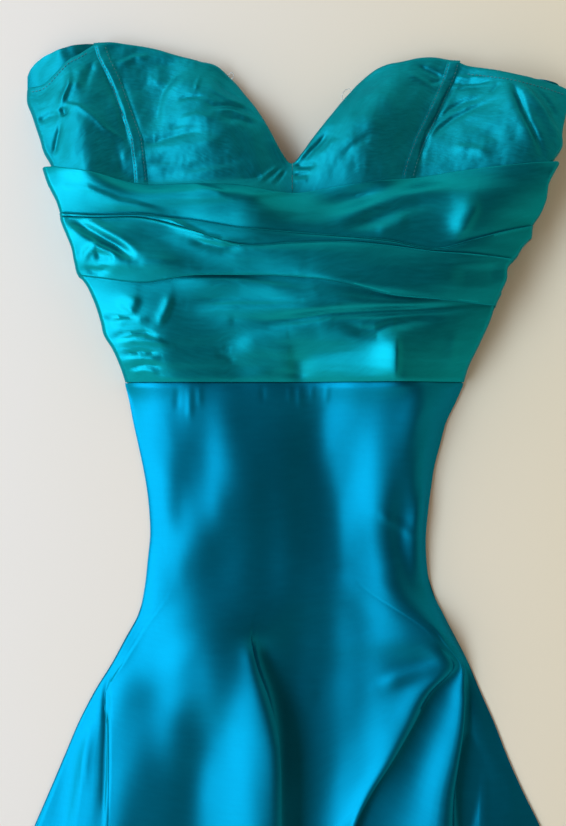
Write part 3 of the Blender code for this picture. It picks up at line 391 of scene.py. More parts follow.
# Tilt of the upper skirt. A row is one section, millimetres: y, then x and the rise per millimetre
# towards +X of places across the front, from the left side to the right one.
SKIRT_TILTS = (
    (388, -141, 0.28, -122, 0.16, -111, 0.08, -99, 0.02, -87, 0.02, -70, 0, -49, -0.016, -26,
     -0.109, 7, -0.122, 18, 0, 27, 0.24, 43, 0.347, 78, 0.347, 92, 0.3, 104, 0.16, 110, -0.489,
     131, -0.897, 144, -0.979),
    (369, -138, 0.29, -120, 0.2, -110, 0.121, -102, 0, -94, 0.04, -86, 0.05, -74, 0, -57, -0.05,
     -38, -0.088, -26, -0.12, 8, -0.063, 20, 0.02, 29, 0.269, 44, 0.347, 80, 0.347, 94, 0.3, 104,
     0.05, 110, -0.667, 127, -1.145, 135, -1.336),
    (343, -133, 0.29, -116, 0.2, -106, 0.1, -100, -0.04, -93, -0.03, -82, 0.04, -69, 0.06, -53,
     0.04, -38, -0.068, -23, -0.129, 12, -0.136, 22, 0.04, 31, 0.291, 45, 0.358, 65, 0.347, 84,
     0.3, 94, 0.16, 108, -0.536, 116, -1.073, 127, -1.396),
    (313, -127, 0.29, -115, 0.25, -107, 0.1, -100, -0.05, -93, 0, -84, 0.12, -69, 0.16, -53,
     0.14, -42, 0, -29, -0.129, 17, -0.136, 26, 0.05, 36, 0.314, 48, 0.37, 62, 0.358, 75, 0.26,
     86, 0.06, 98, -0.05, 106, -0.95, 118, -1.629),
    (283, -123, 0.29, -111, 0.27, -105, 0.14, -99, 0.08, -91, 0.2, -69, 0.2, -58, 0.02, -46,
     -0.048, -34, -0.129, 22, -0.122, 32, 0, 43, 0.314, 53, 0.37, 65, 0.347, 75, 0.12, 84, -0.3,
     96, 0.2, 103, 0.2, 110, -1.739, 115, -2.609),
    (258, -122, 0.299, -109, 0.3, -93, 0.2, -80, 0.05, -70, -0.03, -58, -0.048, -19, -0.098, 22,
     -0.088, 36, -0.016, 45, 0.269, 55, 0.358, 67, 0.336, 77, 0.08, 86, -0.333, 94, 0.3, 101,
     0.3, 106, -0.277, 110, -1.808, 114, -2.412),
    (232, -124, 0.302, -113, 0.25, -99, 0.17, -88, -0.02, -75, -0.038, -21, -0.033, 22, -0.026,
     38, -0.005, 47, 0.246, 58, 0.4, 72, 0.38, 82, 0.12, 92, -0.296, 101, 0.12, 108, -0.456, 112,
     -1.652, 116, -1.983),
    (206, -129, 0.302, -113, 0.19, -94, 0.11, -81, 0, -69, -0.033, -36, -0.076, -6, -0.085, 22,
     -0.047, 39, 0.02, 51, 0.25, 62, 0.36, 79, 0.33, 89, 0.04, 99, -0.24, 113, -0.812, 122,
     -1.161),
    (189, -133, 0.264, -122, 0.264, -109, 0.27, -100, 0.25, -89, 0.16, -79, 0.04, -66, -0.024,
     -49, -0.04, -32, -0.109, -6, -0.122, 7, -0.082, 22, 0.04, 37, 0.18, 50, 0.26, 62, 0.31, 74,
     0.34, 82, 0.28, 92, 0.12, 103, 0.02, 113, -0.351, 123, -1.526, 128, -2.543),
    (168, -147, 0.28, -130, 0.28, -117, 0.29, -100, 0.35, -89, 0.28, -79, 0.1, -66, 0, -45,
     -0.04, -34, -0.1, -26, -0.2, -6, -0.2, 7, -0.06, 20, 0.02, 32, 0.14, 45, 0.22, 62, 0.26, 80,
     0.28, 92, 0.22, 101, 0.1, 114, 0.02, 127, -0.126, 140, -2.748, 142, -4.58),
    (146, -158, 0.28, -139, 0.28, -122, 0.26, -100, 0.28, -87, 0.18, -70, 0.08, -49, 0.04, -29,
     0, -24, -0.1, -9, -0.2, 2, -0.08, 15, 0, 28, 0.12, 41, 0.22, 58, 0.27, 71, 0.24, 82, 0.1,
     91, 0.02, 103, 0.1, 114, 0.22, 123, 0.22, 130, 0.12, 137, 0, 146, -0.1, 154, -0.5),
    (125, -171, 0.22, -163, 0.3, -161, 0.34, -158, 0.26, -152, 0.16, -139, 0.1, -122, 0.1, -109,
     0.18, -96, 0.24, -83, 0.16, -66, 0.16, -49, 0.18, -32, 0.16, -21, 0.08, -16, -0.2, -2,
     -0.18, 7, -0.04, 20, 0, 32, 0.14, 45, 0.24, 67, 0.27, 88, 0.26, 105, 0.28, 116, 0.25, 121,
     0, 127, -0.06, 135, 0.1, 144, 0.18, 149, 0.1, 152, 0, 163, -0.3),
    (103, -182, 0.24, -173, 0.3, -165, 0.18, -159, 0.34, -156, 0.2, -149, 0.08, -139, 0.1, -122,
     0.18, -109, 0.14, -100, 0.02, -92, -0.06, -79, 0.04, -69, 0.18, -55, 0.3, -36, 0.26, -23,
     0.18, -16, 0.06, -10, -0.2, 2, -0.1, 15, 0, 28, 0.08, 41, 0.2, 58, 0.25, 80, 0.28, 92, 0.3,
     101, 0.28, 105, 0, 114, -0.04, 124, 0.06, 133, 0.2, 144, 0.26, 149, 0.1, 152, -0.05, 169,
     -0.25),
    (82, -191, 0.2, -178, 0.33, -168, 0.14, -159, 0.3, -154, 0.14, -146, 0.06, -130, 0.1, -117,
     0.14, -106, 0.04, -96, -0.08, -83, -0.08, -75, 0.06, -67, 0.24, -55, 0.3, -36, 0.26, -23,
     0.2, -14, 0.04, -10, -0.2, 2, -0.12, 15, 0, 28, 0.06, 41, 0.2, 58, 0.28, 75, 0.32, 86, 0.24,
     91, 0, 101, -0.06, 111, 0.04, 120, 0.18, 131, 0.3, 144, 0.28, 147, 0, 154, -0.1, 178, -0.1),
    (61, -199, 0.18, -178, 0.34, -166, 0.12, -159, 0.3, -152, 0.14, -143, 0.06, -130, 0.04, -113,
     0, -96, -0.1, -85, -0.08, -79, 0.1, -72, 0.26, -62, 0.32, -40, 0.27, -26, 0.2, -15, 0.04,
     -10, -0.2, 5, -0.1, 17, 0, 31, 0.08, 43, 0.22, 58, 0.28, 71, 0.26, 80, 0.12, 86, -0.02, 94,
     -0.04, 103, 0.08, 114, 0.22, 127, 0.32, 137, 0.26, 142, 0.1, 146, -0.15, 152, 0, 161, 0.1,
     164, 0.12, 178, -0.05, 188, 0),
    (39, -208, 0.2, -182, 0.34, -166, 0.14, -160, 0.3, -151, 0.14, -141, 0.04, -122, -0.02, -100,
     -0.1, -87, -0.1, -81, 0.08, -74, 0.28, -62, 0.3, -40, 0.25, -23, 0.16, -14, 0, -9, -0.2, 5,
     -0.12, 17, -0.02, 28, 0.1, 41, 0.26, 56, 0.26, 67, 0.14, 74, 0, 82, 0.04, 92, 0.14, 110,
     0.24, 124, 0.3, 135, 0.22, 141, 0.06, 146, -0.1, 157, 0.04, 164, 0.1, 174, -0.06, 187, 0.06,
     197, -0.1),
    (13, -219, 0.2, -185, 0.34, -168, 0.14, -162, 0.28, -152, 0.14, -141, 0.04, -122, -0.04, -98,
     -0.1, -87, -0.06, -81, 0.1, -72, 0.28, -57, 0.28, -36, 0.24, -23, 0.14, -12, 0, -8, -0.2, 5,
     -0.12, 17, 0, 26, 0.16, 39, 0.28, 51, 0.2, 62, 0.06, 70, 0.06, 84, 0.2, 105, 0.27, 127,
     0.26, 142, 0.16, 149, 0.06, 156, 0.06, 163, 0.12, 174, -0.05, 185, 0.06, 195, -0.05, 211,
     -0.1),
)

# The skirt's front. A row is one section of it, millimetres: y, then x and height of each of
# the 26 lines that run down the skirt, from the left side seam to the right one.
SKIRT_LINES = (
    (261, -123.1, 0, -121.2, 4, -118, 8, -113.3, 11.5, -107.8, 14, -102, 15.8, -96, 17, -91, 18,
     -85, 18.6, -79, 18.4, -63.5, 12.2, -47.4, 7.6, -26.0, 3.6, 8.7, 2.2, 38.9, 3, 66, 16.4, 78,
     12.3, 95.5, 15, 99.7, 12.4, 102, 10.6, 105.1, 9, 107.6, 7.4, 110.0, 5.8, 112.2, 4, 114.4,
     2.2, 116.0, 0),
    (240, -125.1, 0, -123.2, 4, -120, 8.5, -114.9, 12, -109.5, 14.5, -104, 16.3, -100, 17.5,
     -95, 18.2, -90, 18, -85, 16.2, -67.9, 10.4, -51.8, 6.4, -29.4, 3.4, 10.4, 2.6, 40.6, 4, 67,
     15.8, 87, 9, 102.6, 13, 106.4, 10.2, 108, 8.6, 109.9, 7.3, 111.3, 6, 112.6, 4.8, 114.0,
     3.4, 115.4, 1.9, 116.4, 0),
    (214, -128.1, 0, -126.3, 4, -123, 8, -119.3, 11, -115.2, 13, -110, 14.8, -105, 16.2, -99,
     17, -90, 15.8, -70, 11.6, -38.0, 6.4, -32.8, 5.2, -24.2, 3.4, 6.9, 3, 39.7, 6, 75, 15.6,
     90, 11.5, 102.2, 9.8, 105.7, 8.8, 108, 7.8, 110.7, 6.8, 113.0, 5.8, 115.1, 4.7, 117.1, 3.5,
     119.2, 2, 120.7, 0),
    (193, -132.9, 0, -131.0, 4, -128, 8, -124.5, 10.5, -120.9, 12.5, -115, 14.8, -106, 17.3,
     -90, 19.2, -76, 17, -57, 14, -36.1, 11, -33.2, 8.5, -26.8, 4.4, -1.7, 2.8, 37.1, 6, 79,
     15.5, 93, 12.5, 108.1, 10.5, 111.6, 9.6, 115, 8.6, 118.4, 7.6, 121.1, 6.6, 123.7, 5.4,
     126.2, 4, 128.9, 2.2, 130.7, 0),
    (171, -144.6, 0, -142.7, 4, -140, 7, -136.3, 9, -132.2, 11, -121, 14.5, -106, 18.5, -83,
     21.4, -69, 19.4, -51, 17.4, -34.7, 15.5, -34.4, 11, -30.7, 4, -6.1, 2.2, 37.1, 6, 85, 15.6,
     103, 12.6, 121.6, 11.8, 125.2, 10.8, 128, 9.8, 130.7, 8.8, 133.3, 7.6, 136, 6.2, 138.1,
     4.5, 140.5, 2.4, 142.2, 0),
    (150, -155.9, 0, -154.0, 3.5, -151, 6.5, -148.5, 8, -146.0, 10.8, -132, 14, -111, 19, -88,
     21.8, -71, 20.6, -49, 19.8, -29.5, 18.6, -31.4, 11, -27.3, 4, -4.3, 2, 37, 6.5, 84, 14.8,
     105, 11.6, 137.1, 16.5, 138.7, 12, 142, 9.8, 145.7, 11.5, 147.1, 8.5, 148, 7, 149.8, 5,
     151.4, 2.6, 152.9, 0),
    (127, -170.2, 0, -168.5, 3.5, -166, 6.5, -160.0, 6.6, -161.3, 13, -149, 14.2, -128, 17.2,
     -106, 19.4, -89, 19, -59, 21.8, -20.5, 22.6, -24.5, 12, -19.5, 4, 2.6, 2, 37, 8, 66, 14,
     74, 12.6, 117.9, 20, 117.7, 12, 125, 8.5, 149.0, 14.5, 149.1, 9, 153, 7, 156, 6.5, 160.5,
     3.2, 162.4, 0),
    (98, -185.2, 0, -183.1, 3.8, -173, 9, -158.2, 7, -160.6, 16, -149, 16.2, -131, 16.6, -114,
     16.6, -90, 12.5, -56, 20.5, -12.4, 24.5, -18.9, 13, -13.9, 4, 6.9, 2, 39, 9.5, 63, 15.6,
     73, 17, 102.3, 22, 100.5, 13, 109, 8, 148.2, 16.5, 147.4, 9, 153, 7, 164, 8, 172.5, 3.8,
     175.2, 0),
    (69, -197.5, 0, -195.1, 4, -182, 10, -157.2, 7.5, -159.8, 17.5, -148, 16.8, -134, 15.6,
     -121, 14.2, -89, 8.6, -62, 18.5, -9.5, 25.5, -18.1, 14, -12.1, 4, 8.7, 2, 34, 8.5, 52,
     14.5, 64, 18.2, 85.7, 23, 82.0, 14, 94, 8, 144.0, 18.5, 142.9, 10, 151.8, 6, 168, 9.5,
     183.7, 4, 186.5, 0),
    (39, -210.2, 0, -207.5, 4, -184, 11.5, -157.2, 8, -159.9, 18, -149, 16.6, -137, 14.8, -124,
     12.8, -90, 7.5, -67, 18, -9.1, 25.5, -18.1, 14, -12.1, 4, 11.3, 2.2, 28, 8, 42, 13, 50, 17,
     67.1, 23, 62.3, 14, 76, 7.5, 139.7, 19, 139.9, 10, 149.3, 5.5, 166, 11, 196.6, 4.5, 199.8,
     0),
    (11, -222.3, 0, -219.6, 4, -189, 12.5, -157.5, 8.5, -160.7, 18.5, -150, 16.5, -139, 14.5,
     -126, 12.5, -92, 7, -72, 17.5, -9.1, 25.5, -18.1, 14, -11.3, 4, 13.9, 2.5, 26, 7.5, 36, 12,
     43, 16, 53.2, 21.5, 48.7, 13.5, 65, 7, 138.3, 19.5, 139.3, 11, 150.1, 6, 164, 12, 210.3, 5,
     213.7, 0),
    (-60, -250, 0, -247, 5, -222, 11, -185, 7, -188, 15, -174, 15, -160, 14, -142, 11.5, -98, 6,
     -67, 17, -14, 23.5, -17, 13, -8, 4, 10, 2.5, 18, 6, 24, 9, 29, 12, 37, 16, 35, 12, 52, 6,
     138, 18, 139, 11, 150, 7, 192, 12, 242, 5, 245, 0),
    (-200, -304, 0, -300, 5.5, -263, 12, -232, 6, -210, 13, -190, 13.5, -170, 10, -145, 6, -105,
     6, -75, 14, -40, 19.5, -22, 14, -5, 8, 8, 6, 20, 7.5, 28, 9, 34, 10, 42, 11, 56, 8.5, 75,
     6, 132, 16.5, 150, 13, 172, 8, 236, 13, 296, 5.5, 300, 0),
    (-400, -371, 0, -366, 6, -334, 13, -292, 6, -252, 15.5, -228, 14, -200, 9, -165, 6, -130,
     7.5, -98, 14, -72, 17.5, -48, 13, -28, 8, -10, 6.5, 5, 8.5, 16, 11.5, 24, 13.5, 34, 14.5,
     56, 10, 84, 6, 144, 17, 178, 12, 210, 7, 306, 14.5, 364, 6, 369, 0),
    (-690, -460, 0, -454, 7, -404, 15, -352, 6, -300, 18.5, -272, 15, -238, 8, -204, 6, -170, 8,
     -142, 15, -118, 19.5, -90, 15, -62, 8.5, -40, 7, -20, 10.5, -6, 14.5, 6, 17.5, 20, 18.5,
     48, 13, 82, 7, 160, 18.5, 200, 13, 250, 7, 384, 16.5, 454, 7, 460, 0),
)

# Above those sections the lines are even and only the side seams count: y, left x, right x.
SKIRT_SIDES = (
    (280, -123.8, 117.7), (300, -125.9, 120.3), (320, -129.4, 123.4), (340, -133.7, 128.6),
    (360, -138.1, 134.2), (376, -141.1, 142.0), (391, -144.6, 148.5),
)


# ---- shapes ------------------------------------------------------------------------------


def smooth_between(t, span, values, slopes):
    """Smooth run from one value to the next, with the slope that each has, at the share t."""
    start = (2 * t**3 - 3 * t**2 + 1) * values[0] + (t**3 - 2 * t**2 + t) * span * slopes[0]
    end = (3 * t**2 - 2 * t**3) * values[1] + (t**3 - t**2) * span * slopes[1]
    return start + end


def curve(table, column, at):
    """Smooth curve through a table's first column and one other, in metres, read at 'at'."""
    rows = np.array(sorted(table), dtype=float) * MM
    knots, values = rows[:, 0], rows[:, column]
    slopes = np.gradient(values, knots)
    at = np.clip(at, knots[0], knots[-1])
    i = np.clip(np.searchsorted(knots, at) - 1, 0, len(knots) - 2)
    span = knots[i + 1] - knots[i]
    t = (at - knots[i]) / span
    return smooth_between(t, span, (values[i], values[i + 1]), (slopes[i], slopes[i + 1]))


def line(table, column, at):
    """Straight runs through a table's first column and one other, in metres, read at 'at'."""
    rows = np.array(sorted(table), dtype=float) * MM
    return np.interp(at, rows[:, 0], rows[:, column])


def ease(value):
    """Smooth step from 0 to 1."""
    t = np.clip(value, 0, 1)
    return t * t * (3 - 2 * t)


def shoulder(reach):
    """Rounded side of the form: 0 at the edge, 1 from 'reach' = 1 inward."""
    inside = 1 - np.clip(reach, 0, 1)
    return (1 - inside**SHOULDER_POWER) ** (1 / SHOULDER_POWER)


def spread_both(columns, evenness):
    """Fractions from 0 to 1 that are closer together at both ends."""
    even = np.linspace(0, 1, columns)
    return evenness * even + (1 - evenness) * (1 - np.cos(math.pi * even)) / 2


def crease_relief(creases, x, y):
    """Sum of soft ridges and troughs along bent lines, each fading towards its ends."""
    total = np.zeros_like(x)
    for height, wide_left, wide_right, *flat in creases:
        points = np.array(flat).reshape(-1, 2) * MM
        legs = np.diff(points, axis=0)
        lengths = np.hypot(legs[:, 0], legs[:, 1])
        before = np.concatenate([[0.0], np.cumsum(lengths)])
        nearest = np.full_like(x, np.inf)
        aside = np.zeros_like(x)
        along = np.zeros_like(x)
        for (px, py), (dx, dy), length, start in zip(points, legs, lengths, before):
            t = np.clip(((x - px) * dx + (y - py) * dy) / length**2, 0, 1)
            off_x, off_y = x - px - t * dx, y - py - t * dy
            away = np.hypot(off_x, off_y)
            here = away < nearest
            nearest = np.where(here, away, nearest)
            aside = np.where(here, dx * off_y - dy * off_x, aside)
            along = np.where(here, (start + t * length) / before[-1], along)
        width = np.where(aside > 0, wide_left, wide_right) * MM
        fade = ease(along / CREASE_END) * ease((1 - along) / CREASE_END)
        kept = CREASE_END_HEIGHT + (1 - CREASE_END_HEIGHT) * fade
        total += height * MM * np.exp(-((nearest / width) ** 2)) * kept
    return total


def ripples(x, y, size, height, seed, stretch=1.0):
    """Faint uneven ripples of the cloth, 'stretch' times as long along X, the same in every run."""
    x = x / stretch
    draw = np.random.default_rng(seed)
    total = np.zeros_like(x)
    for _ in range(14):
        angle = draw.uniform(0, math.pi)
        wave = 2 * math.pi / (size * draw.uniform(0.6, 1.6))
        phase = draw.uniform(0, 2 * math.pi, 2)
        bend = 0.35 * np.sin((x * math.sin(angle) - y * math.cos(angle)) * wave * 0.4 + phase[1])
        total += np.sin((x * math.cos(angle) + y * math.sin(angle)) * wave + phase[0] + bend * 3)
    return total * height / 14**0.5


def through(points, knots, at):
    """Smooth curve through points that lie at the given knots, read at 'at'."""
    slopes = np.gradient(points, knots, axis=0)
    i = np.clip(np.searchsorted(knots, at, side="right") - 1, 0, len(knots) - 2)
    span = (knots[i + 1] - knots[i])[:, None]
    t = (at - knots[i])[:, None] / span
    return smooth_between(t, span, (points[i], points[i + 1]), (slopes[i], slopes[i + 1]))


def table_rise(x, y):
    """Height of the form under the bodice, as its table gives it."""
    table = np.array(sorted(BODY_LINES), dtype=float) * MM
    at_y = np.clip(y.ravel(), table[0, 0], table[-1, 0])
    rows = through(table[:, 1:], table[:, 0], at_y)
    knots, heights = rows[:, 0::2], rows[:, 1::2]
    at = np.clip(x.ravel(), knots[:, 0], knots[:, -1])
    i = np.clip((knots <= at[:, None]).sum(axis=1) - 1, 0, knots.shape[1] - 2)
    spans = np.diff(knots, axis=1)
    steeps = np.diff(heights, axis=1) / spans
    inner = steeps[:, :-1] * spans[:, 1:] + steeps[:, 1:] * spans[:, :-1]
    inner /= spans[:, :-1] + spans[:, 1:]
    slopes = np.concatenate([steeps[:, :1], inner, steeps[:, -1:]], axis=1)
    pick = np.arange(len(at))
    span = spans[pick, i]
    t = (at - knots[pick, i]) / span
    ends = heights[pick, i], heights[pick, i + 1]
    rise = smooth_between(t, span, ends, (slopes[pick, i], slopes[pick, i + 1]))
    return rise.reshape(x.shape)


def tilts_at(tilts, x, y_rows):
    """Tilt that a table wants at each place between its sides."""
    share = np.linspace(0, 1, TILT_PLACES)
    table = sorted(tilts)
    levels = np.array([row[0] for row in table]) * MM
    sections = []
    for row in table:
        pairs = np.array(row[1:]).reshape(-1, 2)
        at = pairs[0, 0] + (pairs[-1, 0] - pairs[0, 0]) * share
        sections.append(np.interp(at, pairs[:, 0], pairs[:, 1]))
    sections = through(np.array(sections), levels, np.clip(y_rows, levels[0], levels[-1]))
    left, right = x[:, [0]], x[:, [-1]]
    places = ((x[:, 1:] + x[:, :-1]) / 2 - left) / (right - left)
    return np.array([np.interp(at, share, row) for at, row in zip(places, sections)])


def tilted(tilts, x, y_rows, start, keep, free_end=False):
    """The form nearest to a table's tilts that keeps its edges and, where keep is 1, its shape."""
    run = np.diff(x, axis=1)
    rise = tilts_at(tilts, x, y_rows) * run * (1 - keep) + np.diff(start, axis=1) * keep
    drop = np.diff(start, axis=0) * np.min(keep, axis=1)[1:, None]
    down = np.abs(np.diff(y_rows))[:, None]
    across = 0.5 * (down[1:] + down[:-1]) / np.maximum(np.abs(run[1:-1]), LEAST_STEP)
    along = TILT_HOLD * np.maximum(np.abs(np.gradient(x, axis=1)), LEAST_STEP)[:, 1:-1]
    along = 0.5 * (along[1:] + along[:-1]) / down
    sums = across[:, 1:] + across[:, :-1] + along[1:] + along[:-1]
    added = np.concatenate([np.zeros((len(x), 1)), np.cumsum(rise, axis=1)], axis=1)
    gap = start[:, [-1]] - start[:, [0]] - added[:, [-1]]
    share = (x - x[:, [0]]) / (x[:, [-1]] - x[:, [0]])
    height = start.copy()
    moved = slice(1, None if free_end else -1)
    height[moved] = (start[:, [0]] + added + gap * share)[moved]
    rows, columns = np.indices(sums.shape)
    for turn in range(TILT_TURNS):
        near = across[:, 1:] * (height[1:-1, 2:] - rise[1:-1, 1:])
        near += across[:, :-1] * (height[1:-1, :-2] + rise[1:-1, :-1])
        near += along[1:] * (height[2:, 1:-1] - drop[1:, 1:-1])
        near += along[:-1] * (height[:-2, 1:-1] + drop[:-1, 1:-1])
        change = TILT_OVERSTEP * (near / sums - height[1:-1, 1:-1])
        height[1:-1, 1:-1] += np.where((rows + columns) % 2 == turn % 2, change, 0)
    return height


@functools.lru_cache(maxsize=1)
def band_form():
    """Heights of the form under the midriff band, on even shares across, and its rows' y."""
    y_rows = np.linspace(UNDERBUST_Y, WAIST_SEAM_Y, FORM_ROWS)
    left, right = curve(DRAPE_OUTLINE, 1, y_rows), curve(DRAPE_OUTLINE, 2, y_rows)
    x = left[:, None] + (right - left)[:, None] * np.linspace(0, 1, FORM_COLUMNS)
    start = table_rise(x, np.repeat(y_rows[:, None], FORM_COLUMNS, axis=1))
    held = 1 - ease(np.abs(y_rows - y_rows[0]) / FORM_HELD)[:, None]
    keep = np.repeat(held, FORM_COLUMNS - 1, axis=1)
    return soften(tilted(BAND_TILTS, x, y_rows, start, keep, free_end=True), 3), y_rows


def band_rise(x, y):
    """Height of that form at x and y."""
    height, y_rows = band_form()
    down = np.clip((y - y_rows[0]) / (y_rows[-1] - y_rows[0]), 0, 1) * (len(y_rows) - 1)
    left, right = curve(DRAPE_OUTLINE, 1, y), curve(DRAPE_OUTLINE, 2, y)
    over = np.clip((x - left) / (right - left), 0, 1) * (height.shape[1] - 1)
    i = np.minimum(down.astype(int), len(y_rows) - 2)
    j = np.minimum(over.astype(int), height.shape[1] - 2)
    u, v = down - i, over - j
    upper = height[i, j] * (1 - v) + height[i, j + 1] * v
    lower = height[i + 1, j] * (1 - v) + height[i + 1, j + 1] * v
    return upper * (1 - u) + lower * u


def body_rise(x, y):
    """Height of the form under the bodice, over the back."""
    below = ease((fold_line("top", x) - y) / UNDERBUST_BLEND)
    cups = sum(share * table_rise(x + aside, y) for share, aside in CUP_EVENING)
    return cups * (1 - below) + band_rise(x, y) * below


def soften(height, turns):
    """Evens out a grid of heights with its neighbours, a little each turn."""
    for _ in range(turns):
        around = np.pad(height, 1, mode="edge")
        sides = around[1:-1, :-2] + around[1:-1, 2:] + around[:-2, 1:-1] + around[2:, 1:-1]
        height = 0.5 * height + 0.125 * sides
    return height


def fold_line(name, x):
    """Y of one of the midriff band's folds at x."""
    return curve(tuple(zip(STATIONS, PLEAT_FOLDS[name])), 1, x)


# ---- cloth -------------------------------------------------------------------------------


def grid_normals(points):
    """Outward normals of a grid of points, rows running from +Y to -Y."""
    normals = np.cross(np.gradient(points, axis=0), np.gradient(points, axis=1))
    return normals / np.maximum(np.linalg.norm(normals, axis=-1, keepdims=True), 1e-12)


def under_side(face, thickness):
    """Inner face of a cloth, a thickness behind its outer one."""
    return face - grid_normals(face) * np.broadcast_to(thickness, face.shape[:2])[..., None]


def add_piece(name, mesh, material):
    """Object for a finished mesh, which holds its own place."""
    mesh.materials.append(material)
    piece = bpy.data.objects.new(name, mesh)
    bpy.context.scene.collection.objects.link(piece)
    return piece


def cloth(name, face, inner, material):
    """Closed thin shell between its outer face and its inner one, two like grids of points."""
    rows, columns = face.shape[:2]
    count = rows * columns
    index = np.arange(count).reshape(rows, columns)
    a, b, c, d = index[:-1, :-1], index[1:, :-1], index[1:, 1:], index[:-1, 1:]
    top = np.stack([a, b, c, d], axis=-1).reshape(-1, 4)
    under = np.stack([a, d, c, b], axis=-1).reshape(-1, 4) + count
    rim = np.concatenate([index[0, :-1], index[:-1, -1], index[-1, :0:-1], index[:0:-1, 0]])
    after = np.roll(rim, -1)
    edge = np.stack([rim, after, after + count, rim + count], axis=-1)
    faces = np.concatenate([top, under, edge])
    mesh = bpy.data.meshes.new(name)
    places = np.concatenate([face.reshape(-1, 3), inner.reshape(-1, 3)])
    mesh.from_pydata(places.tolist(), [], faces.tolist())
    across = np.linalg.norm(np.diff(face, axis=1), axis=-1)
    down = np.linalg.norm(np.diff(face, axis=0), axis=-1)
    u = np.concatenate([np.zeros((rows, 1)), np.cumsum(across, axis=1)], axis=1)
    v = np.concatenate([np.zeros((1, columns)), np.cumsum(down, axis=0)], axis=0)
    u -= u[:, columns // 2][:, None]
    flat = np.stack([u, -v], axis=-1).reshape(-1, 2)
    flat = np.concatenate([flat, flat])
    corners = np.empty(len(mesh.loops), dtype=np.int32)
    mesh.loops.foreach_get("vertex_index", corners)
    layer = mesh.uv_layers.new(name="weave")
    layer.data.foreach_set("uv", flat[corners].astype(np.float32).ravel())
    mesh.shade_smooth()
    mesh.set_sharp_from_angle(angle=CLOTH_SHARP)
    return add_piece(name, mesh, material)


def dress(piece, slot, *nodes):
    """Rides on the gown and stands for the nodes, which it hides; the slot is not used."""
    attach(piece, "root")
    if nodes:
        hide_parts(*nodes)
    return piece


def wrap(name, paths, radius, material, sides=6):
    """Closed round threads along the paths, as one piece; a thread tapers where its path ends."""
    turns = np.arange(sides)[:, None] * 2 * math.pi / sides
    bm = bmesh.new()
    for points in paths:
        points = np.asarray(points)
        along = np.gradient(points, axis=0)
        along /= np.linalg.norm(along, axis=1, keepdims=True)
        aside = np.cross(along[0], (0.0, 0.0, 1.0))
        rings = []
        for k, (place, direction) in enumerate(zip(points, along)):
            aside = aside - direction * aside.dot(direction)
            aside /= np.linalg.norm(aside)
            upward = np.cross(aside, direction)
            size = radius * (THREAD_TIP if k in (0, len(points) - 1) else 1.0)
            corners = place + size * (np.cos(turns) * aside + np.sin(turns) * upward)
            rings.append([bm.verts.new(corner) for corner in corners])
        for near, far in zip(rings, rings[1:]):
            for k in range(sides):
                after = (k + 1) % sides
                bm.faces.new((near[k], near[after], far[after], far[k]))
        bm.faces.new(rings[0][::-1])
        bm.faces.new(rings[-1])
    bmesh.ops.recalc_face_normals(bm, faces=bm.faces[:])
    mesh = bpy.data.meshes.new(name)
    bm.to_mesh(mesh)
    bm.free()
    mesh.shade_smooth()
    return add_piece(name, mesh, material)


def stitch_row(name, seam, material, length=0.0024, gap=0.0010, radius=0.00024):
    """Row of stitches along a seam, each one a short bent thread that dips into the cloth."""
    seam = np.asarray(seam)
    before = np.concatenate([[0.0], np.cumsum(np.linalg.norm(np.diff(seam, axis=0), axis=1))])
    share = np.linspace(0, 1, 5)
    stitches = []
    for start in np.arange(gap, before[-1] - length, length + gap):
        at = start + share * length
        stitch = np.stack([np.interp(at, before, places) for places in seam.T], axis=1)
        stitch[:, 2] += radius * (1.7 * np.sin(share * math.pi) ** 0.5 - 0.9)
        stitches.append(stitch)
    return dress(wrap(name, stitches, radius, material, 5), "bodice_satin")


# ---- bust --------------------------------------------------------------------------------


def neck_drop(x, y, top_y):
    """How far the cups' turned edge curves down, by the distance from the edge."""
    slope = np.gradient(top_y) / np.gradient(x, axis=1).mean(axis=0)
    away = (top_y[None, :] - y) / np.sqrt(1 + slope[None, :] ** 2)
    short = np.clip(NECK_ROLL - away, 0, NECK_ROLL)
    return NECK_ROLL - np.sqrt(NECK_ROLL**2 - short**2)


def bust_height(x, y):
    """Height of the cups' face at a place on the bust."""
    x, y = np.broadcast_arrays(x, y)
    from_left = x - curve(CUP_OUTLINE, 1, y)
    from_right = curve(CUP_OUTLINE, 2, y) - x
    side = shoulder(from_left / SIDE_ROLL) * shoulder(from_right / SIDE_ROLL)
    above_band = np.clip((y - RELIEF_START_Y) / RELIEF_BLEND, 0, 1)
    creases = crease_relief(CUP_CREASES, x, y) + crease_relief(RIGHT_CUP_CREASES, x, y)
    relief = CUP_RELIEF * creases
    relief += ripples(x, y, 0.020, 0.00030, 3) + ripples(x, y, 0.006, 0.00005, 4)
    height = body_rise(x, y) + relief * above_band
    return REST_HEIGHT + np.maximum(height, LEAST_BUST_RISE) * side


def channel_top(side):
    """X and y of the place where a side's boning channel meets the neckline."""
    x, y = NECKLINE[0] if side < 0 else NECKLINE[-1]
    return x * MM, y * MM


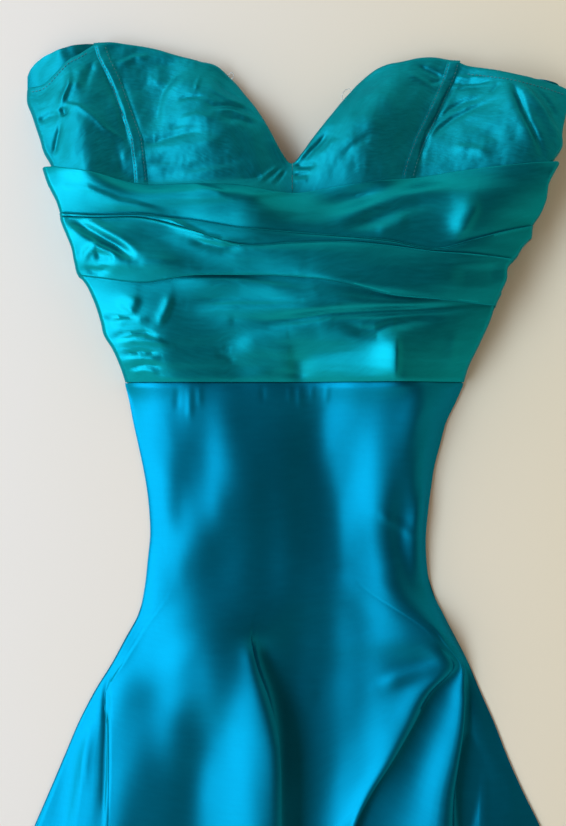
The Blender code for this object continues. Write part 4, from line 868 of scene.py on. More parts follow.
def bust_panel(name, side, side_top, columns, rows, material):
    """Side or centre panel of the bust, on the left (side -1) or the right (side 1)."""
    column = COLUMN[side]
    up = (1 - np.linspace(0, 1, rows) ** 1.35)[:, None]
    if side_top:
        out = spread_both(columns, 0.6)[None, :]
        top_edge = side_top
        near_y = CUP_BOTTOM_Y + (side_top[0][1] * MM - CUP_BOTTOM_Y) * up
        far_y = CUP_BOTTOM_Y + (side_top[-1][1] * MM - CUP_BOTTOM_Y) * up
        near = line(CHANNELS, column, near_y) + side * SEAM_GAP / 2
        far = curve(CUP_OUTLINE, column, far_y)
    else:
        out = spread_both(columns, 0.8)[None, :]
        top_edge = NECKLINE
        far_y = CUP_BOTTOM_Y + (channel_top(side)[1] - CUP_BOTTOM_Y) * up
        near = np.full_like(up, side * SEAM_GAP / 2)
        far = line(CHANNELS, column, far_y) - side * SEAM_GAP / 2
    x = near + (far - near) * out
    top_y = curve(top_edge, 1, x[0])
    y = CUP_BOTTOM_Y + (top_y - CUP_BOTTOM_Y) * up
    if side < 0:
        x, y, top_y = x[:, ::-1], y[:, ::-1], top_y[::-1]
    drop = neck_drop(x, y, top_y) * (SIDE_TOP_ROLL if side_top else 1)
    face = np.stack([x, y, bust_height(x, y) - drop], axis=-1)
    inner = under_side(face, CUP_THICKNESS)
    inner[..., 2] = np.maximum(inner[..., 2], REST_HEIGHT)
    return cloth(name, face, inner, material)


def boning_strip(name, side, material):
    """Stitched channel for a bone over the seam of the cup, with puckers along its edges."""
    column = COLUMN[side]
    across = np.linspace(-0.5, 0.5, 15)[None, :]
    top_x = line(CHANNELS, column, line(NECKLINE, 1, channel_top(side)[0])) + across * STRIP_WIDTH
    bottom_x = line(CHANNELS, column, BACK_NECK_Y) + across * STRIP_WIDTH
    top = line(NECKLINE, 1, top_x) - 0.0004
    bottom = fold_line("top", bottom_x) - 0.004
    up = np.linspace(1, 0, 150)[:, None]
    y = bottom + (top - bottom) * up
    x = line(CHANNELS, column, y) + across * STRIP_WIDTH
    edge = np.abs(across) * 2
    beat = 0.6 + 0.4 * np.sin(y * 2 * math.pi / PUCKER_BEAT + side)
    pucker = 0.00009 * beat * np.sin(y * 2 * math.pi / PUCKER_LENGTH) * ease((edge - 0.35) / 0.5)
    crown = 0.0008 * (1 - edge**4) + 0.0003 - 0.00035 * np.exp(-(((edge - 0.72) / 0.1) ** 2))
    z = bust_height(x, y) + crown + pucker
    z -= 0.0022 * ease((up - 0.975) / 0.025)
    face = np.stack([x + np.zeros_like(y), y, z], axis=-1)
    return cloth(name, face, under_side(face, SATIN_THICKNESS), material)


def boning_seams(side, material):
    """Two rows of stitches that hold a boning strip, along its edges."""
    column = COLUMN[side]
    rows = []
    for across in (-STITCH_ASIDE, STITCH_ASIDE):
        top = line(NECKLINE, 1, channel_top(side)[0] + across * STRIP_WIDTH) - 0.004
        y = np.linspace(top, fold_line("top", line(CHANNELS, column, BACK_NECK_Y)) + 0.001, 90)
        x = line(CHANNELS, column, y) + across * STRIP_WIDTH
        seam = np.stack([x, y, bust_height(x, y) + 0.00062], axis=1)
        edge = "outer" if across * side > 0 else "inner"
        rows.append(stitch_row(f"boning_{WORD[side]}_{edge}_stitches", seam, material))
    return rows


def facing_seam(side, top_edge, depth, material):
    """Row of stitches that holds the facing, below the top edge of a side panel."""
    first, last = top_edge[0][0] * MM, top_edge[-1][0] * MM
    x = np.linspace(first + side * 0.009, last - side * 0.006, 80)
    y = curve(top_edge, 1, x) - depth
    z = bust_height(x, y) + 0.0001
    return stitch_row(f"facing_{WORD[side]}_stitches", np.stack([x, y, z], axis=1), material)


def clear_loop(name, place, along, reach, material):
    """Loop of clear cord for a strap, sewn into the neckline at both ends."""
    near = line(NECKLINE, 1, place + 0.002) - line(NECKLINE, 1, place - 0.002)
    direction = np.array((0.004, near)) / math.hypot(0.004, near)
    outward = np.array((-direction[1], direction[0]))
    turn = np.radians(np.linspace(-138, 138, 40))[:, None]
    middle = np.array((place, line(NECKLINE, 1, place)))
    flat = middle + outward * reach * (0.35 + np.cos(turn)) + direction * along * np.sin(turn)
    edge = bust_height(*(middle - outward * 0.004)) - NECK_ROLL * 0.8
    lift = edge + 0.0012 * np.cos(turn[:, 0])
    points = np.concatenate([flat, lift[:, None]], axis=1)
    return dress(wrap(name, [points], 0.00038, material, 8), "bodice_satin")


# ---- midriff band ------------------------------------------------------------------------


def half_turn(start, stop, count):
    """Angles of a rolled fold, in radians, without its two ends."""
    return np.radians(np.linspace(start, stop, count + 2))[1:-1]


def pleat_path():
    """The band's cloth from its turned top hem to the waist seam, folded under at each pleat.

    A point is two folds, the share of the way between them, how far it is moved up the gown
    and its height over the body, both in millimetres.
    """
    path = [("top", "top", 0, dy, -1.6) for dy in (-15.0, -11.0, -7.0, -3.5, -1.8)]
    path += [
        ("top", "top", 0, -0.8 + 0.8 * math.cos(a), -0.8 + 0.8 * math.sin(a))
        for a in half_turn(-90, 90, 5)
    ]
    stretches = (
        ("top", "upper", 0.0, 0.2, 2.0, 18, 3.1),
        ("upper", "middle", 2.4, 2.3, 0.8, 11, 3.2),
        ("middle", "lower", 4.8, 5.2, 2.6, 22, 0),
    )
    for upper, lower, start, end, swell, count, step in stretches:
        for f in np.linspace(0.01, 1, count):
            height = start + (end - start) * f + swell * 4 * f * (1 - f)
            path.append((upper, lower, f, -0.9 * (1 - f), height))
        if not step:
            continue
        path += [(lower, lower, 0, dy, end - 0.1) for dy in (-3.0, -6.5, -9.5)]
        path.append((lower, lower, 0, -10.0, end + 0.05))
        path += [(lower, lower, 0, dy, end + 0.2) for dy in (-9.5, -6.5, -3.5, -1.7)]
        radius = (step - 0.2) / 2
        path += [
            (lower, lower, 0, radius * (math.cos(a) - 1), end + 0.2 + radius * (1 + math.sin(a)))
            for a in half_turn(-90, 90, 6)
        ]
    roll = 1.5
    path += [
        ("lower", "lower", 0, -roll * math.cos(a) + roll - 1.0, 5.2 - roll + roll * math.sin(a))
        for a in half_turn(90, -90, 8)
    ]
    path += [("lower", "lower", 0, dy, z) for dy, z in ((2.5, 2.2), (6.0, 2.1), (10.0, 2.0))]
    path.append(("lower", "lower", 0, 11.0, 1.75))
    path += [("lower", "lower", 0, dy, z) for dy, z in ((10.0, 1.5), (6.0, 1.2), (2.0, 0.8))]
    for f in np.linspace(0.0, 1, 46):
        height = 0.5 * (1 - f) + 2.8 * 4 * f * (1 - f) - 0.9 * ease((f - 0.96) / 0.04)
        path.append(("lower", "waist", f, -0.5 * (1 - f), height))
    return path


def between_folds(upper, lower, share, dy, x):
    """Y at x of a line between two folds, moved up by dy millimetres."""
    return fold_line(upper, x) * (1 - share) + fold_line(lower, x) * share + dy * MM


def midriff_drape(material):
    """Pleated band across the front, between the cups and the waist seam."""
    shares = spread_both(330, 0.72)
    rows = []
    for *where, lift in pleat_path():
        left = curve(DRAPE_OUTLINE, 1, between_folds(*where, BAND_ENDS[0]))
        right = curve(DRAPE_OUTLINE, 2, between_folds(*where, BAND_ENDS[1]))
        x = left + (right - left) * shares
        rows.append([x, between_folds(*where, x), np.full_like(x, lift * MM), x - left, right - x])
    x, y, lift, from_left, from_right = np.array(rows).transpose(1, 0, 2)
    side = shoulder(from_left / SIDE_ROLL) * shoulder(from_right / SIDE_ROLL)
    relief = crease_relief(DRAPE_CREASES, x, y)
    relief += ripples(x, y, 0.020, 0.00045, 11, 7) + ripples(x, y, 0.007, 0.00007, 12, 8)
    press = 0.4 + 0.6 * side
    z = REST_HEIGHT + (body_rise(x, y) + relief) * side + (lift + DRAPE_LIFT) * press
    face = np.stack([x, y, z], axis=-1)
    return cloth("midriff_drape_cloth", face, under_side(face, BAND_THICKNESS * press), material)


# ---- skirt -------------------------------------------------------------------------------

# Columns of the grid between each two of the lines that run down the skirt.
LINE_STEPS = (4, 6, 8, 5, 6, 8, 9, 9, 10, 12, 5, 5, 7, 9, 9, 6, 11, 5, 6, 12, 5, 5, 6, 8, 4)
SKIRT_FOLDS = (10.5, 11.5, 17.5, 20.5, 21.5)  # lines with a folded edge beside them
SKIRT_SMOOTH = ((4, 10), (12, 17))  # stretches between the folded edges
FOLD_REACH = 0.6  # lines beside a fold that keep its own shape
FOLDS_TOP_Y = 0.178  # where the folded edges have run out
CLOSE_ROWS_END_Y = -0.012  # the grid's rows lie closer down to here
HEM_CURVE_START_Y = -0.05  # the rows start to bend towards the hem here
SEAM_EASE_Y = 0.366  # from here up to the waist seam the skirt takes the bodice's form
LEAST_SKIRT_RISE = 0.0003


def skirt_grid(y_rows):
    """X and height of the skirt's grid, and each column's place counted in lines."""
    sides = np.zeros((len(SKIRT_SIDES), 2 * len(LINE_STEPS) + 3))
    for row, (level, left, right) in zip(sides, SKIRT_SIDES):
        row[0] = level
        row[1::2] = np.linspace(left, right, len(LINE_STEPS) + 1)
    table = np.concatenate([np.array(SKIRT_LINES, dtype=float), sides])
    table = table[np.argsort(table[:, 0])] * MM
    levels = table[:, 0]
    down = through(table[:, 1:], levels, np.clip(y_rows, levels[0], levels[-1]))
    steps = [i + np.arange(n) / n for i, n in enumerate(LINE_STEPS)] + [[len(LINE_STEPS)]]
    steps = np.concatenate(steps)
    grid = []
    for row in down.reshape(len(y_rows), -1, 2):
        chords = np.hypot(*np.diff(row, axis=0).T)
        knots = np.concatenate([[0.0], np.cumsum(np.maximum(chords, 1e-4))])
        grid.append(through(row, knots, np.interp(steps, np.arange(len(knots)), knots)))
    grid = np.array(grid)
    x, height = grid[..., 0], grid[..., 1]
    for first, last in SKIRT_SMOOTH:
        part = np.flatnonzero((steps >= first) & (steps <= last))
        for row_x, row_height in zip(x, height):
            even = np.linspace(row_x[part[0]], row_x[part[-1]], len(part))
            row_height[part] = np.interp(even, row_x[part], row_height[part])
            row_x[part] = even
    even = x[:, [0]] + (x[:, [-1]] - x[:, [0]]) * spread_both(x.shape[1], 0.8)
    x = x + (even - x) * ease((y_rows[:, None] - FOLDS_TOP_Y) / 0.05)
    return x, height, steps


def skirt_front(material):
    """Front of the skirt, with its flutes and folds, and the row that its hem is sewn on."""
    seen = np.linspace(WAIST_SEAM_Y - SEAM_GAP / 2, CLOSE_ROWS_END_Y, 160)
    hidden = np.linspace(CLOSE_ROWS_END_Y, HEM_CENTRE_Y + FRONT_HEM_RISE, 78)[1:]
    y_rows = np.concatenate([seen, hidden])
    x, height, steps = skirt_grid(y_rows)
    y = np.repeat(y_rows[:, None], x.shape[1], axis=1)
    share = np.abs(x) / np.maximum(np.abs(x[:, [0]]), 1e-6)
    lowering = np.clip((HEM_CURVE_START_Y - y) / (HEM_CURVE_START_Y - HEM_CENTRE_Y), 0, 1) ** 2
    y = y + (HEM_SIDE_Y - HEM_CENTRE_Y) * np.minimum(share, 1) ** 2 * lowering
    from_left, from_right = x - x[:, [0]], x[:, [-1]] - x
    side = np.clip(np.minimum(from_left, from_right) / 0.012, 0, 1)
    relief = crease_relief(SKIRT_CREASES, x, y) + ripples(y, x, 0.05, 0.00030, 21, 3)
    at_seam = ease((y - SEAM_EASE_Y) / 0.026)
    body = shoulder(from_left / SIDE_ROLL) * shoulder(from_right / SIDE_ROLL)
    body = body * body_rise(x, np.full_like(x, WAIST_SEAM_Y))
    height = height * (1 - at_seam) + body * at_seam
    middles = (steps[1:] + steps[:-1]) / 2
    beside = np.min([np.abs(middles - fold) for fold in SKIRT_FOLDS], axis=0)
    folded = (1 - ease(beside - FOLD_REACH))[None, :] * ease((FOLDS_TOP_Y - y_rows) / 0.02)[:, None]
    folded = np.maximum(folded, ease((0.0 - y_rows[:, None]) / 0.05))
    height = tilted(SKIRT_TILTS, x, y_rows, height, folded)
    beside = np.min([np.abs(steps - fold) for fold in SKIRT_FOLDS], axis=0)
    calm = ease(beside - FOLD_REACH)[None, :]
    calm = np.maximum(ease((y_rows[:, None] - FOLDS_TOP_Y) / 0.03), calm)
    height = soften(height, 14) * calm + soften(height, 3) * (1 - calm)
    height = height - 0.0008 * ease((y - 0.3895) / 0.003)
    z = REST_HEIGHT + np.maximum(height + relief * side, LEAST_SKIRT_RISE)
    face = np.stack([x, y, z], axis=-1)
    inner = under_side(face, SATIN_THICKNESS * (0.35 + 0.65 * side))
    inner[..., 2] = np.maximum(inner[..., 2], REST_HEIGHT - 0.0001)
    return cloth("skirt_front_cloth", face, inner, material), face[-4]


# ---- back --------------------------------------------------------------------------------


def corner_lift(x, y):
    """How far the top corners of the back puff up inside the front."""
    left = 0.0105 * ease((-x - 0.152) / 0.044) * ease((0.2300 + x) / 0.036)
    right = 0.0110 * ease((x - 0.180) / 0.044) * ease((0.2372 - x) / 0.010)
    puff = left + right
    puff = puff + ripples(x, y, 0.014, 0.0006, 32) * np.minimum(puff / 0.004, 1)
    return np.maximum(puff, 0) * ease((y - 0.600) / 0.055)


def back_wall(name, x, y, material):
    """Back piece that lies on the surface, with faint ripples and raised top corners."""
    lift = corner_lift(x, y) + 0.0004 * (1 + np.tanh(ripples(x, y, 0.06, 1.0, 31)))
    lower = np.stack([x, y, lift], axis=-1)
    face = lower + np.array((0, 0, BACK_CLOTH_THICKNESS))
    return cloth(name, face, lower, material)


def bodice_back(name, side, top, material):
    """Half of the back of the bodice, from the middle seam to the side."""
    share = np.sin(np.linspace(0, 1, 90) * math.pi / 2)
    column = COLUMN[side]
    waist = WAIST_SEAM_Y + SEAM_GAP / 2
    side_top = top[-1][1] * MM
    up = np.linspace(1, 0, 110)[:, None]
    edge_y = waist + (side_top - waist) * up
    bust = curve(CUP_OUTLINE, column, edge_y)
    band = curve(DRAPE_OUTLINE, column, edge_y)
    edge = np.where(edge_y > 0.560, bust, band) - side * BACK_INSET
    corner = side * top[-1][0] * MM
    near_top = np.clip((edge_y - 0.62) / 0.03, 0, 1)
    edge = edge * (1 - near_top) + corner * near_top
    middle = side * SEAM_GAP / 2
    x = middle + (edge - middle) * share[None, :]
    top_x = np.abs(middle + (corner - middle) * share)
    top_y = curve(top, 1, top_x)[None, :]
    y = waist + (top_y - waist) * up
    if side < 0:
        x, y = x[:, ::-1], y[:, ::-1]
    return back_wall(name, x, y, material)


def skirt_back(name, side, material):
    """Half of the back of the skirt, from the middle seam to the side."""
    column = COLUMN[side]
    share = np.linspace(0, 1, 60)
    down = np.linspace(0, 1, 150)[:, None]
    waist = WAIST_SEAM_Y - SEAM_GAP / 2
    hem = HEM_CENTRE_Y + (HEM_SIDE_Y - HEM_CENTRE_Y) * share**2
    y = waist + (hem[None, :] - waist) * down
    edge = curve(SKIRT_OUTLINE, column, waist + (HEM_SIDE_Y - waist) * down) - side * BACK_INSET
    middle = side * SEAM_GAP / 2
    x = middle + (edge - middle) * share[None, :]
    if side < 0:
        x, y = x[:, ::-1], y[:, ::-1]
    return back_wall(name, x, y, material)


# ---- zip ---------------------------------------------------------------------------------


def zip_coil(side, material):
    """One side's nylon coil, a wound thread on the edge of the tape."""
    pitch = 0.0016
    turns = (ZIP_TOP_Y - 0.004 - ZIP_BOTTOM_Y - 0.006) / pitch
    angle = np.arange(0, turns * 2 * math.pi, 2 * math.pi / 8)
    phase = 0 if side < 0 else math.pi
    x = side * 0.00055 + 0.00080 * np.cos(angle)
    y = ZIP_BOTTOM_Y + 0.006 + (angle + phase) / (2 * math.pi) * pitch
    z = REST_HEIGHT + ZIP_TAPE_THICKNESS + 0.00072 + 0.00052 * np.sin(angle)
    coil = wrap(f"zip_coil_{WORD[side]}", [np.stack([x, y, z], axis=1)], 0.00020, material, 5)
    return dress(coil, "zip_tape")


def block(name, size, place, bevel, material):
    """Block with rounded edges, placed by its middle."""
    bpy.ops.mesh.primitive_cube_add(size=1.0, location=place)
    piece = bpy.context.object
    piece.name = name
    bpy.ops.transform.resize(value=size)
    bpy.ops.object.transform_apply(location=True, rotation=True, scale=True)
    rounding = piece.modifiers.new("rounded", "BEVEL")
    rounding.width, rounding.segments = bevel, 3
    bpy.ops.object.modifier_apply(modifier=rounding.name)
    piece.data.materials.append(material)
    bpy.ops.object.shade_smooth_by_angle(angle=math.radians(40))
    piece.select_set(False)
    return piece


def narrow_end(piece, share):
    """Narrows the end of a plate that points to -Y."""
    low = min(v.co.y for v in piece.data.vertices)
    for v in piece.data.vertices:
        near = max(0.0, 1 - (v.co.y - low) / 0.006)
        v.co.x *= 1 - (1 - share) * near


def joined(name, parts):
    """Joins the parts into the first one."""
    for part in parts:
        part.select_set(True)
    bpy.context.view_layer.objects.active = parts[0]
    bpy.ops.object.join()
    parts[0].name = parts[0].data.name = name
    parts[0].select_set(False)
    return parts[0]


def ring(place, radius, wire, segments, turn, material):
    """Ring of round wire, flat or turned about Y."""
    bpy.ops.mesh.primitive_torus_add(
        location=place, rotation=(0, turn, 0), major_segments=segments, minor_segments=8,
        major_radius=radius, minor_radius=wire,
    )
    piece = bpy.context.object
    bpy.ops.object.transform_apply(location=True, rotation=True, scale=True)
    piece.data.materials.append(material)
    piece.select_set(False)
    return piece


def zip_slider(material):
    """Slider closed at the top of the tapes, with its pull tab lying along the coil."""
    low = REST_HEIGHT + ZIP_TAPE_THICKNESS + 0.0002
    middle = ZIP_TOP_Y - 0.006
    size = (0.0070, 0.0110, 0.0006)
    plates = [
        block("plate", size, (0, middle, low + z), 0.00025, material) for z in (0.0004, 0.0022)
    ]
    for plate in plates:
        narrow_end(plate, 0.72)
    place = (0, middle + 0.003, low + 0.0013)
    post = block("post", (0.0018, 0.0030, 0.0020), place, 0.0003, material)
    size = (0.0006, 0.0060, 0.0019)
    cheeks = [
        block("cheek", size, (x, middle + 0.001, low + 0.0013), 0.0002, material)
        for x in (-0.0031, 0.0031)
    ]
    bridge = ring((0, middle, low + 0.0024), 0.0012, 0.00028, 24, math.pi / 2, material)
    slider = joined("zip_slider_body", [*plates, post, *cheeks, bridge])
    loop = ring((0, middle - 0.0008, low + 0.0033), 0.0013, 0.00032, 28, 0, material)
    place = (0, middle - 0.0098, low + 0.0032)
    bar = block("bar", (0.0032, 0.0150, 0.0007), place, 0.0003, material)
    narrow_end(bar, 1.3)
    pull = joined("zip_pull", [bar, loop])
    for v in pull.data.vertices:
        v.co.z -= max(0.0, middle - 0.004 - v.co.y) * 0.07
    place = (0, ZIP_BOTTOM_Y + 0.004, low + 0.0004)
    stop = block("zip_stop", (0.0034, 0.0024, 0.0013), place, 0.0004, material)
    dress(slider, "zip_metal", "zip_slider")
    for piece in (pull, stop):
        dress(piece, "zip_metal")


# ---- materials ---------------------------------------------------------------------------


class Nodes:
    """Nodes and links of a material or of the room's light."""

    def __init__(self, owner):
        owner.use_nodes = True
        self.nodes, self.links = owner.node_tree.nodes, owner.node_tree.links

    def give(self, socket, value):
        """Sets a socket to a value, or links another node's socket to it."""
        if isinstance(value, bpy.types.NodeSocket):
            self.links.new(value, socket)
        else:
            socket.default_value = value

    def add(self, kind, values=None, **settings):
        """New node, with its settings and what its sockets are given."""
        node = self.nodes.new("ShaderNode" + kind)
        for key, value in settings.items():
            setattr(node, key, value)
        for key, value in (values or {}).items():
            self.give(node.inputs[key], value)
        return node

    def ramp(self, value, stops):
        """Colours over a value; a stop is a place and its colour."""
        node = self.add("ValToRGB", {"Fac": value})
        elements = node.color_ramp.elements
        for element, (place, colour) in zip(elements, (stops[0], stops[-1])):
            element.position, element.color = place, (*colour, 1)
        for place, colour in stops[1:-1]:
            elements.new(place).color = (*colour, 1)
        return node.outputs["Color"]

    def between(self, value, low, high, start=0.0, stop=1.0):
        """A value that runs from start to stop, turned into one from low to high."""
        ends = {"From Min": start, "From Max": stop, "To Min": low, "To Max": high}
        return self.add("MapRange", {"Value": value, **ends}).outputs["Result"]

    def times(self, value, factor, more=0.0):
        """A value times a factor, with more added."""
        values = {0: value, 1: factor, 2: more}
        return self.add("Math", values, operation="MULTIPLY_ADD").outputs[0]

    def noise(self, place, scale, detail, roughness=0.5):
        """Cloudy pattern."""
        values = {"Vector": place, "Scale": scale, "Detail": detail, "Roughness": roughness}
        return self.add("TexNoise", values).outputs["Fac"]

    def wave(self, place, scale, distortion, direction="DIAGONAL"):
        """Pattern of bands."""
        values = {"Vector": place, "Scale": scale, "Distortion": distortion}
        return self.add("TexWave", values, bands_direction=direction).outputs["Fac"]

    def bump(self, height, strength, distance):
        """Fine relief of the surface."""
        values = {"Strength": strength, "Distance": distance, "Height": height}
        return self.add("Bump", values).outputs["Normal"]


class Shader(Nodes):
    """A material being made."""

    def __init__(self, name):
        self.material = bpy.data.materials.new(name)
        super().__init__(self.material)

    def object_place(self):
        """Place on the gown, in metres."""
        return self.add("TexCoord").outputs["Object"]

    def made(self, **values):
        """Gives the surface its own values, and hands out the material."""
        sockets = self.nodes["Principled BSDF"].inputs
        for key, value in values.items():
            self.give(sockets[key.replace("_", " ")], value)
        return self.material


# Satins: colour, colour deep in the weave, how metallic, roughness and how uneven it is, then the
# slubs' height and their size in metres.
SATINS = {
    "bodice": ((0.004, 0.31, 0.385), (0.002, 0.19, 0.225), 0.84, 0.48, 0.04, 3.4, 0.008),
    "drape": ((0.003, 0.30, 0.355), (0.002, 0.24, 0.28), 0.90, 0.40, 0.02, 0.8, 0.014),
    "skirt": ((0.001, 0.212, 0.33), (0.001, 0.185, 0.29), 0.93, 0.42, 0.008, 0.03, 0.02),
}
THREADS_SIZE = 0.0022


def satin(name, colour, deep, metallic, roughness, uneven, slub, slub_size):
    """Silk satin: fine weave, slubs along the weft, sheen and a slow change of tint."""
    shader = Shader(name)
    place = shader.add("UVMap", uv_map="weave").outputs["UV"]
    weft = shader.add("Mapping", {"Vector": place, "Scale": (1.0, 5.0, 1.0)}).outputs["Vector"]
    warp = shader.add("Mapping", {"Vector": place, "Scale": (6.0, 1.0, 1.0)}).outputs["Vector"]
    slubs = shader.noise(weft, 1 / slub_size, 4.0, 0.6)
    threads = shader.noise(warp, 1 / THREADS_SIZE, 3.0, 0.7)
    tint = shader.times(shader.noise(place, 22.0, 3.0, 0.55), slubs, 0.22)
    weave = shader.times(threads, 0.35, shader.times(slubs, slub))
    return shader.made(
        Base_Color=shader.ramp(tint, [(0.30, deep), (0.72, colour)]),
        Roughness=shader.between(slubs, roughness - uneven, roughness + uneven, 0.3, 0.7),
        Normal=shader.bump(weave, 0.6, 0.0001),
        Metallic=metallic,
        Specular_IOR_Level=0.12,
        Specular_Tint=(0.1, 0.85, 1.0, 1.0),
    )


def thread(name, colour, deep):
    """Twisted sewing thread."""
    shader = Shader(name)
    twist = shader.wave(shader.object_place(), 900.0, 2.0)
    return shader.made(
        Base_Color=shader.ramp(twist, [(0.2, deep), (0.8, colour)]),
        Roughness=shader.between(twist, 0.42, 0.6),
        Normal=shader.bump(twist, 0.5, 0.00006),
        Sheen_Weight=0.3,
    )


def clear_cord():
    """Clear soft plastic cord, a little cloudy."""
    shader = Shader("clear_cord")
    cloud = shader.noise(shader.object_place(), 700.0, 2.0)
    return shader.made(
        Base_Color=shader.ramp(cloud, [(0.3, (0.80, 0.86, 0.86)), (0.7, (0.95, 0.97, 0.97))]),
        Roughness=shader.between(cloud, 0.08, 0.25),
        Transmission_Weight=0.75,
        IOR=1.45,
    )


def zip_tape_weave():
    """Woven tape with a fine twill rib."""
    shader = Shader("zip_tape_weave")
    place = shader.object_place()
    weave = shader.times(shader.wave(place, 420.0, 0.6), shader.wave(place, 700.0, 0.4, "Y"))
    return shader.made(
        Base_Color=shader.ramp(weave, [(0.0, (0.004, 0.10, 0.13)), (1.0, (0.010, 0.21, 0.25))]),
        Roughness=shader.between(weave, 0.85, 0.65),
        Normal=shader.bump(weave, 0.7, 0.00015),
        Sheen_Weight=0.2,
    )


def zip_enamel():
    """Teal enamel over metal, speckled, and thin where it rubs."""
    shader = Shader("zip_enamel")
    place = shader.object_place()
    rub = shader.noise(place, 260.0, 4.0)
    stops = [(0.30, (0.012, 0.15, 0.17)), (0.62, (0.020, 0.20, 0.22)), (0.74, (0.20, 0.30, 0.30))]
    return shader.made(
        Base_Color=shader.ramp(rub, stops),
        Roughness=shader.between(rub, 0.18, 0.42),
        Normal=shader.bump(shader.noise(place, 1400.0, 3.0), 0.25, 0.00004),
        Coat_Weight=0.4,
    )


def make_materials():
    """Finishes of the gown, by short names."""
    return {
        **{name: satin(f"{name}_satin", *values) for name, values in SATINS.items()},
        "thread": thread("teal_thread", (0.010, 0.19, 0.22), (0.004, 0.09, 0.11)),
        "coil": thread("zip_coil_nylon", (0.012, 0.20, 0.24), (0.006, 0.13, 0.16)),
        "cord": clear_cord(),
        "tape": zip_tape_weave(),
        "metal": zip_enamel(),
    }


# ---- floor, light and camera -------------------------------------------------------------


def make_floor():
    """Pale surface under the gown, its colour cooler at the left and warmer and a little darker at
    the right: painted warm bounce light and painted shade, over faint random tone.
    """
    bpy.ops.mesh.primitive_plane_add(size=8.0, location=(0, 0, 0))
    floor = bpy.context.object
    floor.name = "floor"
    shader = Shader("pale_table")
    place = shader.object_place()
    across = shader.add("SeparateXYZ", {"Vector": place}).outputs["X"]
    # Random tone, plus a rise along X that makes the colour warmer and darker in green and blue
    # towards the right: painted warm bounce light and painted shade.
    tone_and_painted_bounce = shader.times(shader.noise(place, 3.0, 2.0), 0.2, shader.times(across, 1.0, 0.28))
    base = shader.ramp(tone_and_painted_bounce, [(0.15, (0.90, 0.775, 0.69)), (0.75, (0.905, 0.745, 0.52))])
    floor.data.materials.append(shader.made(Base_Color=base, Roughness=0.7))
    floor.select_set(False)


def add_light(name, place, target, size, power, colour):
    """Rectangular lamp, aimed at the target."""
    bpy.ops.object.light_add(type="AREA", location=place)
    lamp = bpy.context.object
    lamp.name = name
    lamp.data.shape = "RECTANGLE"
    lamp.data.size, lamp.data.size_y = size
    lamp.data.energy = power
    lamp.data.color = colour
    aim = np.array(target) - np.array(place)
    lamp.rotation_euler = (
        math.atan2(math.hypot(aim[0], aim[1]), -aim[2]), 0, math.atan2(aim[1], aim[0]) - math.pi / 2
    )
    lamp.select_set(False)


# Brightness of the room by height, from level with the gown to overhead.
ROOM_WALLS = ((0.0, 1.0), (0.5, 0.62), (0.75, 0.22), (0.92, 0.05), (1.0, 0.02))


def make_room_light():
    """Even light of a room: dim overhead, brighter towards the walls, cool left and warm right."""
    world = bpy.data.worlds.new("soft_room")
    room = Nodes(world)
    split = room.add("SeparateXYZ", {0: room.add("TexCoord").outputs["Generated"]}).outputs
    walls = room.ramp(split["Z"], [(place, (value,) * 3) for place, value in ROOM_WALLS])
    across = room.between(split["X"], 0.0, 1.0, -1.0, 1.0)
    sides = {"Factor": across, "A": (1.60, 1.42, 1.26, 1), "B": (0.50, 0.42, 0.30, 1)}
    tint = room.add("Mix", sides, data_type="RGBA").outputs["Result"]
    both = {"Factor": 1.0, "A": walls, "B": tint}
    light = room.add("Mix", both, data_type="RGBA", blend_type="MULTIPLY").outputs["Result"]
    background = room.nodes["Background"].inputs
    room.give(background["Color"], light)
    background["Strength"].default_value = 1.3
    bpy.context.scene.world = world


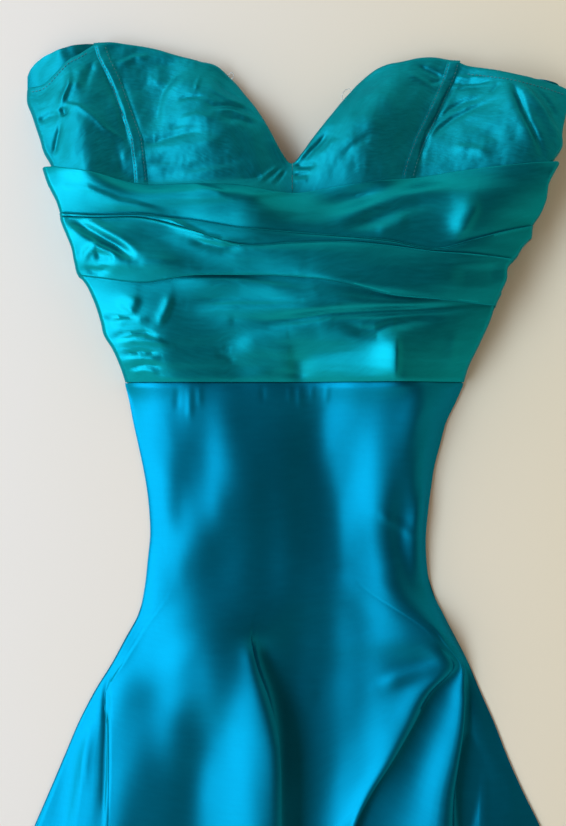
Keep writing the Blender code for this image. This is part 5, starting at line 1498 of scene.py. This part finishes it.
def make_light_and_camera():
    """Window light, the room's light, and a camera straight above the gown."""
    add_light("window_light", (-2.1, 0.75, 2.2), (0, 0.9, 0), (4.4, 1.2), 107, (0.54, 0.79, 1.0))
    make_room_light()
    bpy.ops.object.camera_add(location=(-0.0078, 0.3664, 0.9), rotation=(0, 0, 0))
    camera = bpy.context.object
    camera.name = "camera"
    camera.data.sensor_width = 36.0
    camera.data.lens = 45.09
    camera.data.clip_start = 0.01
    camera.select_set(False)
    bpy.context.scene.camera = camera
    bpy.context.scene.view_settings.view_transform = "Standard"


# ---- the gown ----------------------------------------------------------------------------


def make_gown():
    """Every piece of the gown, from the back to the front."""
    finish = make_materials()
    backs = []
    for side, word, top in ((-1, "left", BACK_TOP_LEFT), (1, "right", BACK_TOP_RIGHT)):
        upper = bodice_back(f"bodice_back_{word}_cloth", side, top, finish["bodice"])
        dress(upper, "bodice_satin", f"bodice_back_{word}")
        lower = skirt_back(f"skirt_back_{word}_cloth", side, finish["skirt"])
        dress(lower, "skirt_satin", f"skirt_back_{word}")
        backs += [upper, lower]
        zip_coil(side, finish["coil"])
        tape = bpy.data.objects[f"zip_tape_{word}"]
        for slot in tape.material_slots:
            slot.material = finish["tape"]
    zip_slider(finish["metal"])
    skirt, hem = skirt_front(finish["skirt"])
    dress(skirt, "skirt_satin", "skirt_front")
    hem_seam = stitch_row("hem_stitches", hem, finish["thread"], 0.0030, 0.0070)
    band = dress(midriff_drape(finish["drape"]), "drape_satin", "midriff_drape")
    cups = []
    for side, word, side_top, depth in (
        (-1, "left", LEFT_SIDE_TOP, 0.0045), (1, "right", RIGHT_SIDE_TOP, 0.0080)
    ):
        outer = bust_panel(f"cup_{word}_side_cloth", side, side_top, 110, 110, finish["bodice"])
        dress(outer, "bodice_satin", f"cup_{word}_side")
        seam = facing_seam(side, side_top, depth, finish["thread"])
        inner = bust_panel(f"cup_{word}_centre_cloth", side, None, 170, 120, finish["bodice"])
        dress(inner, "bodice_satin", f"cup_{word}_centre")
        strip = boning_strip(f"boning_{word}_cloth", side, finish["bodice"])
        dress(strip, "bodice_satin", f"boning_{word}")
        boning_seams(side, finish["thread"])
        cups += [outer, inner]
    clear_loop("strap_loop_left", -0.0535, 0.0022, 0.0030, finish["cord"])
    clear_loop("strap_loop_right", 0.0470, 0.0052, 0.0026, finish["cord"])


make_floor()
make_light_and_camera()
make_gown()
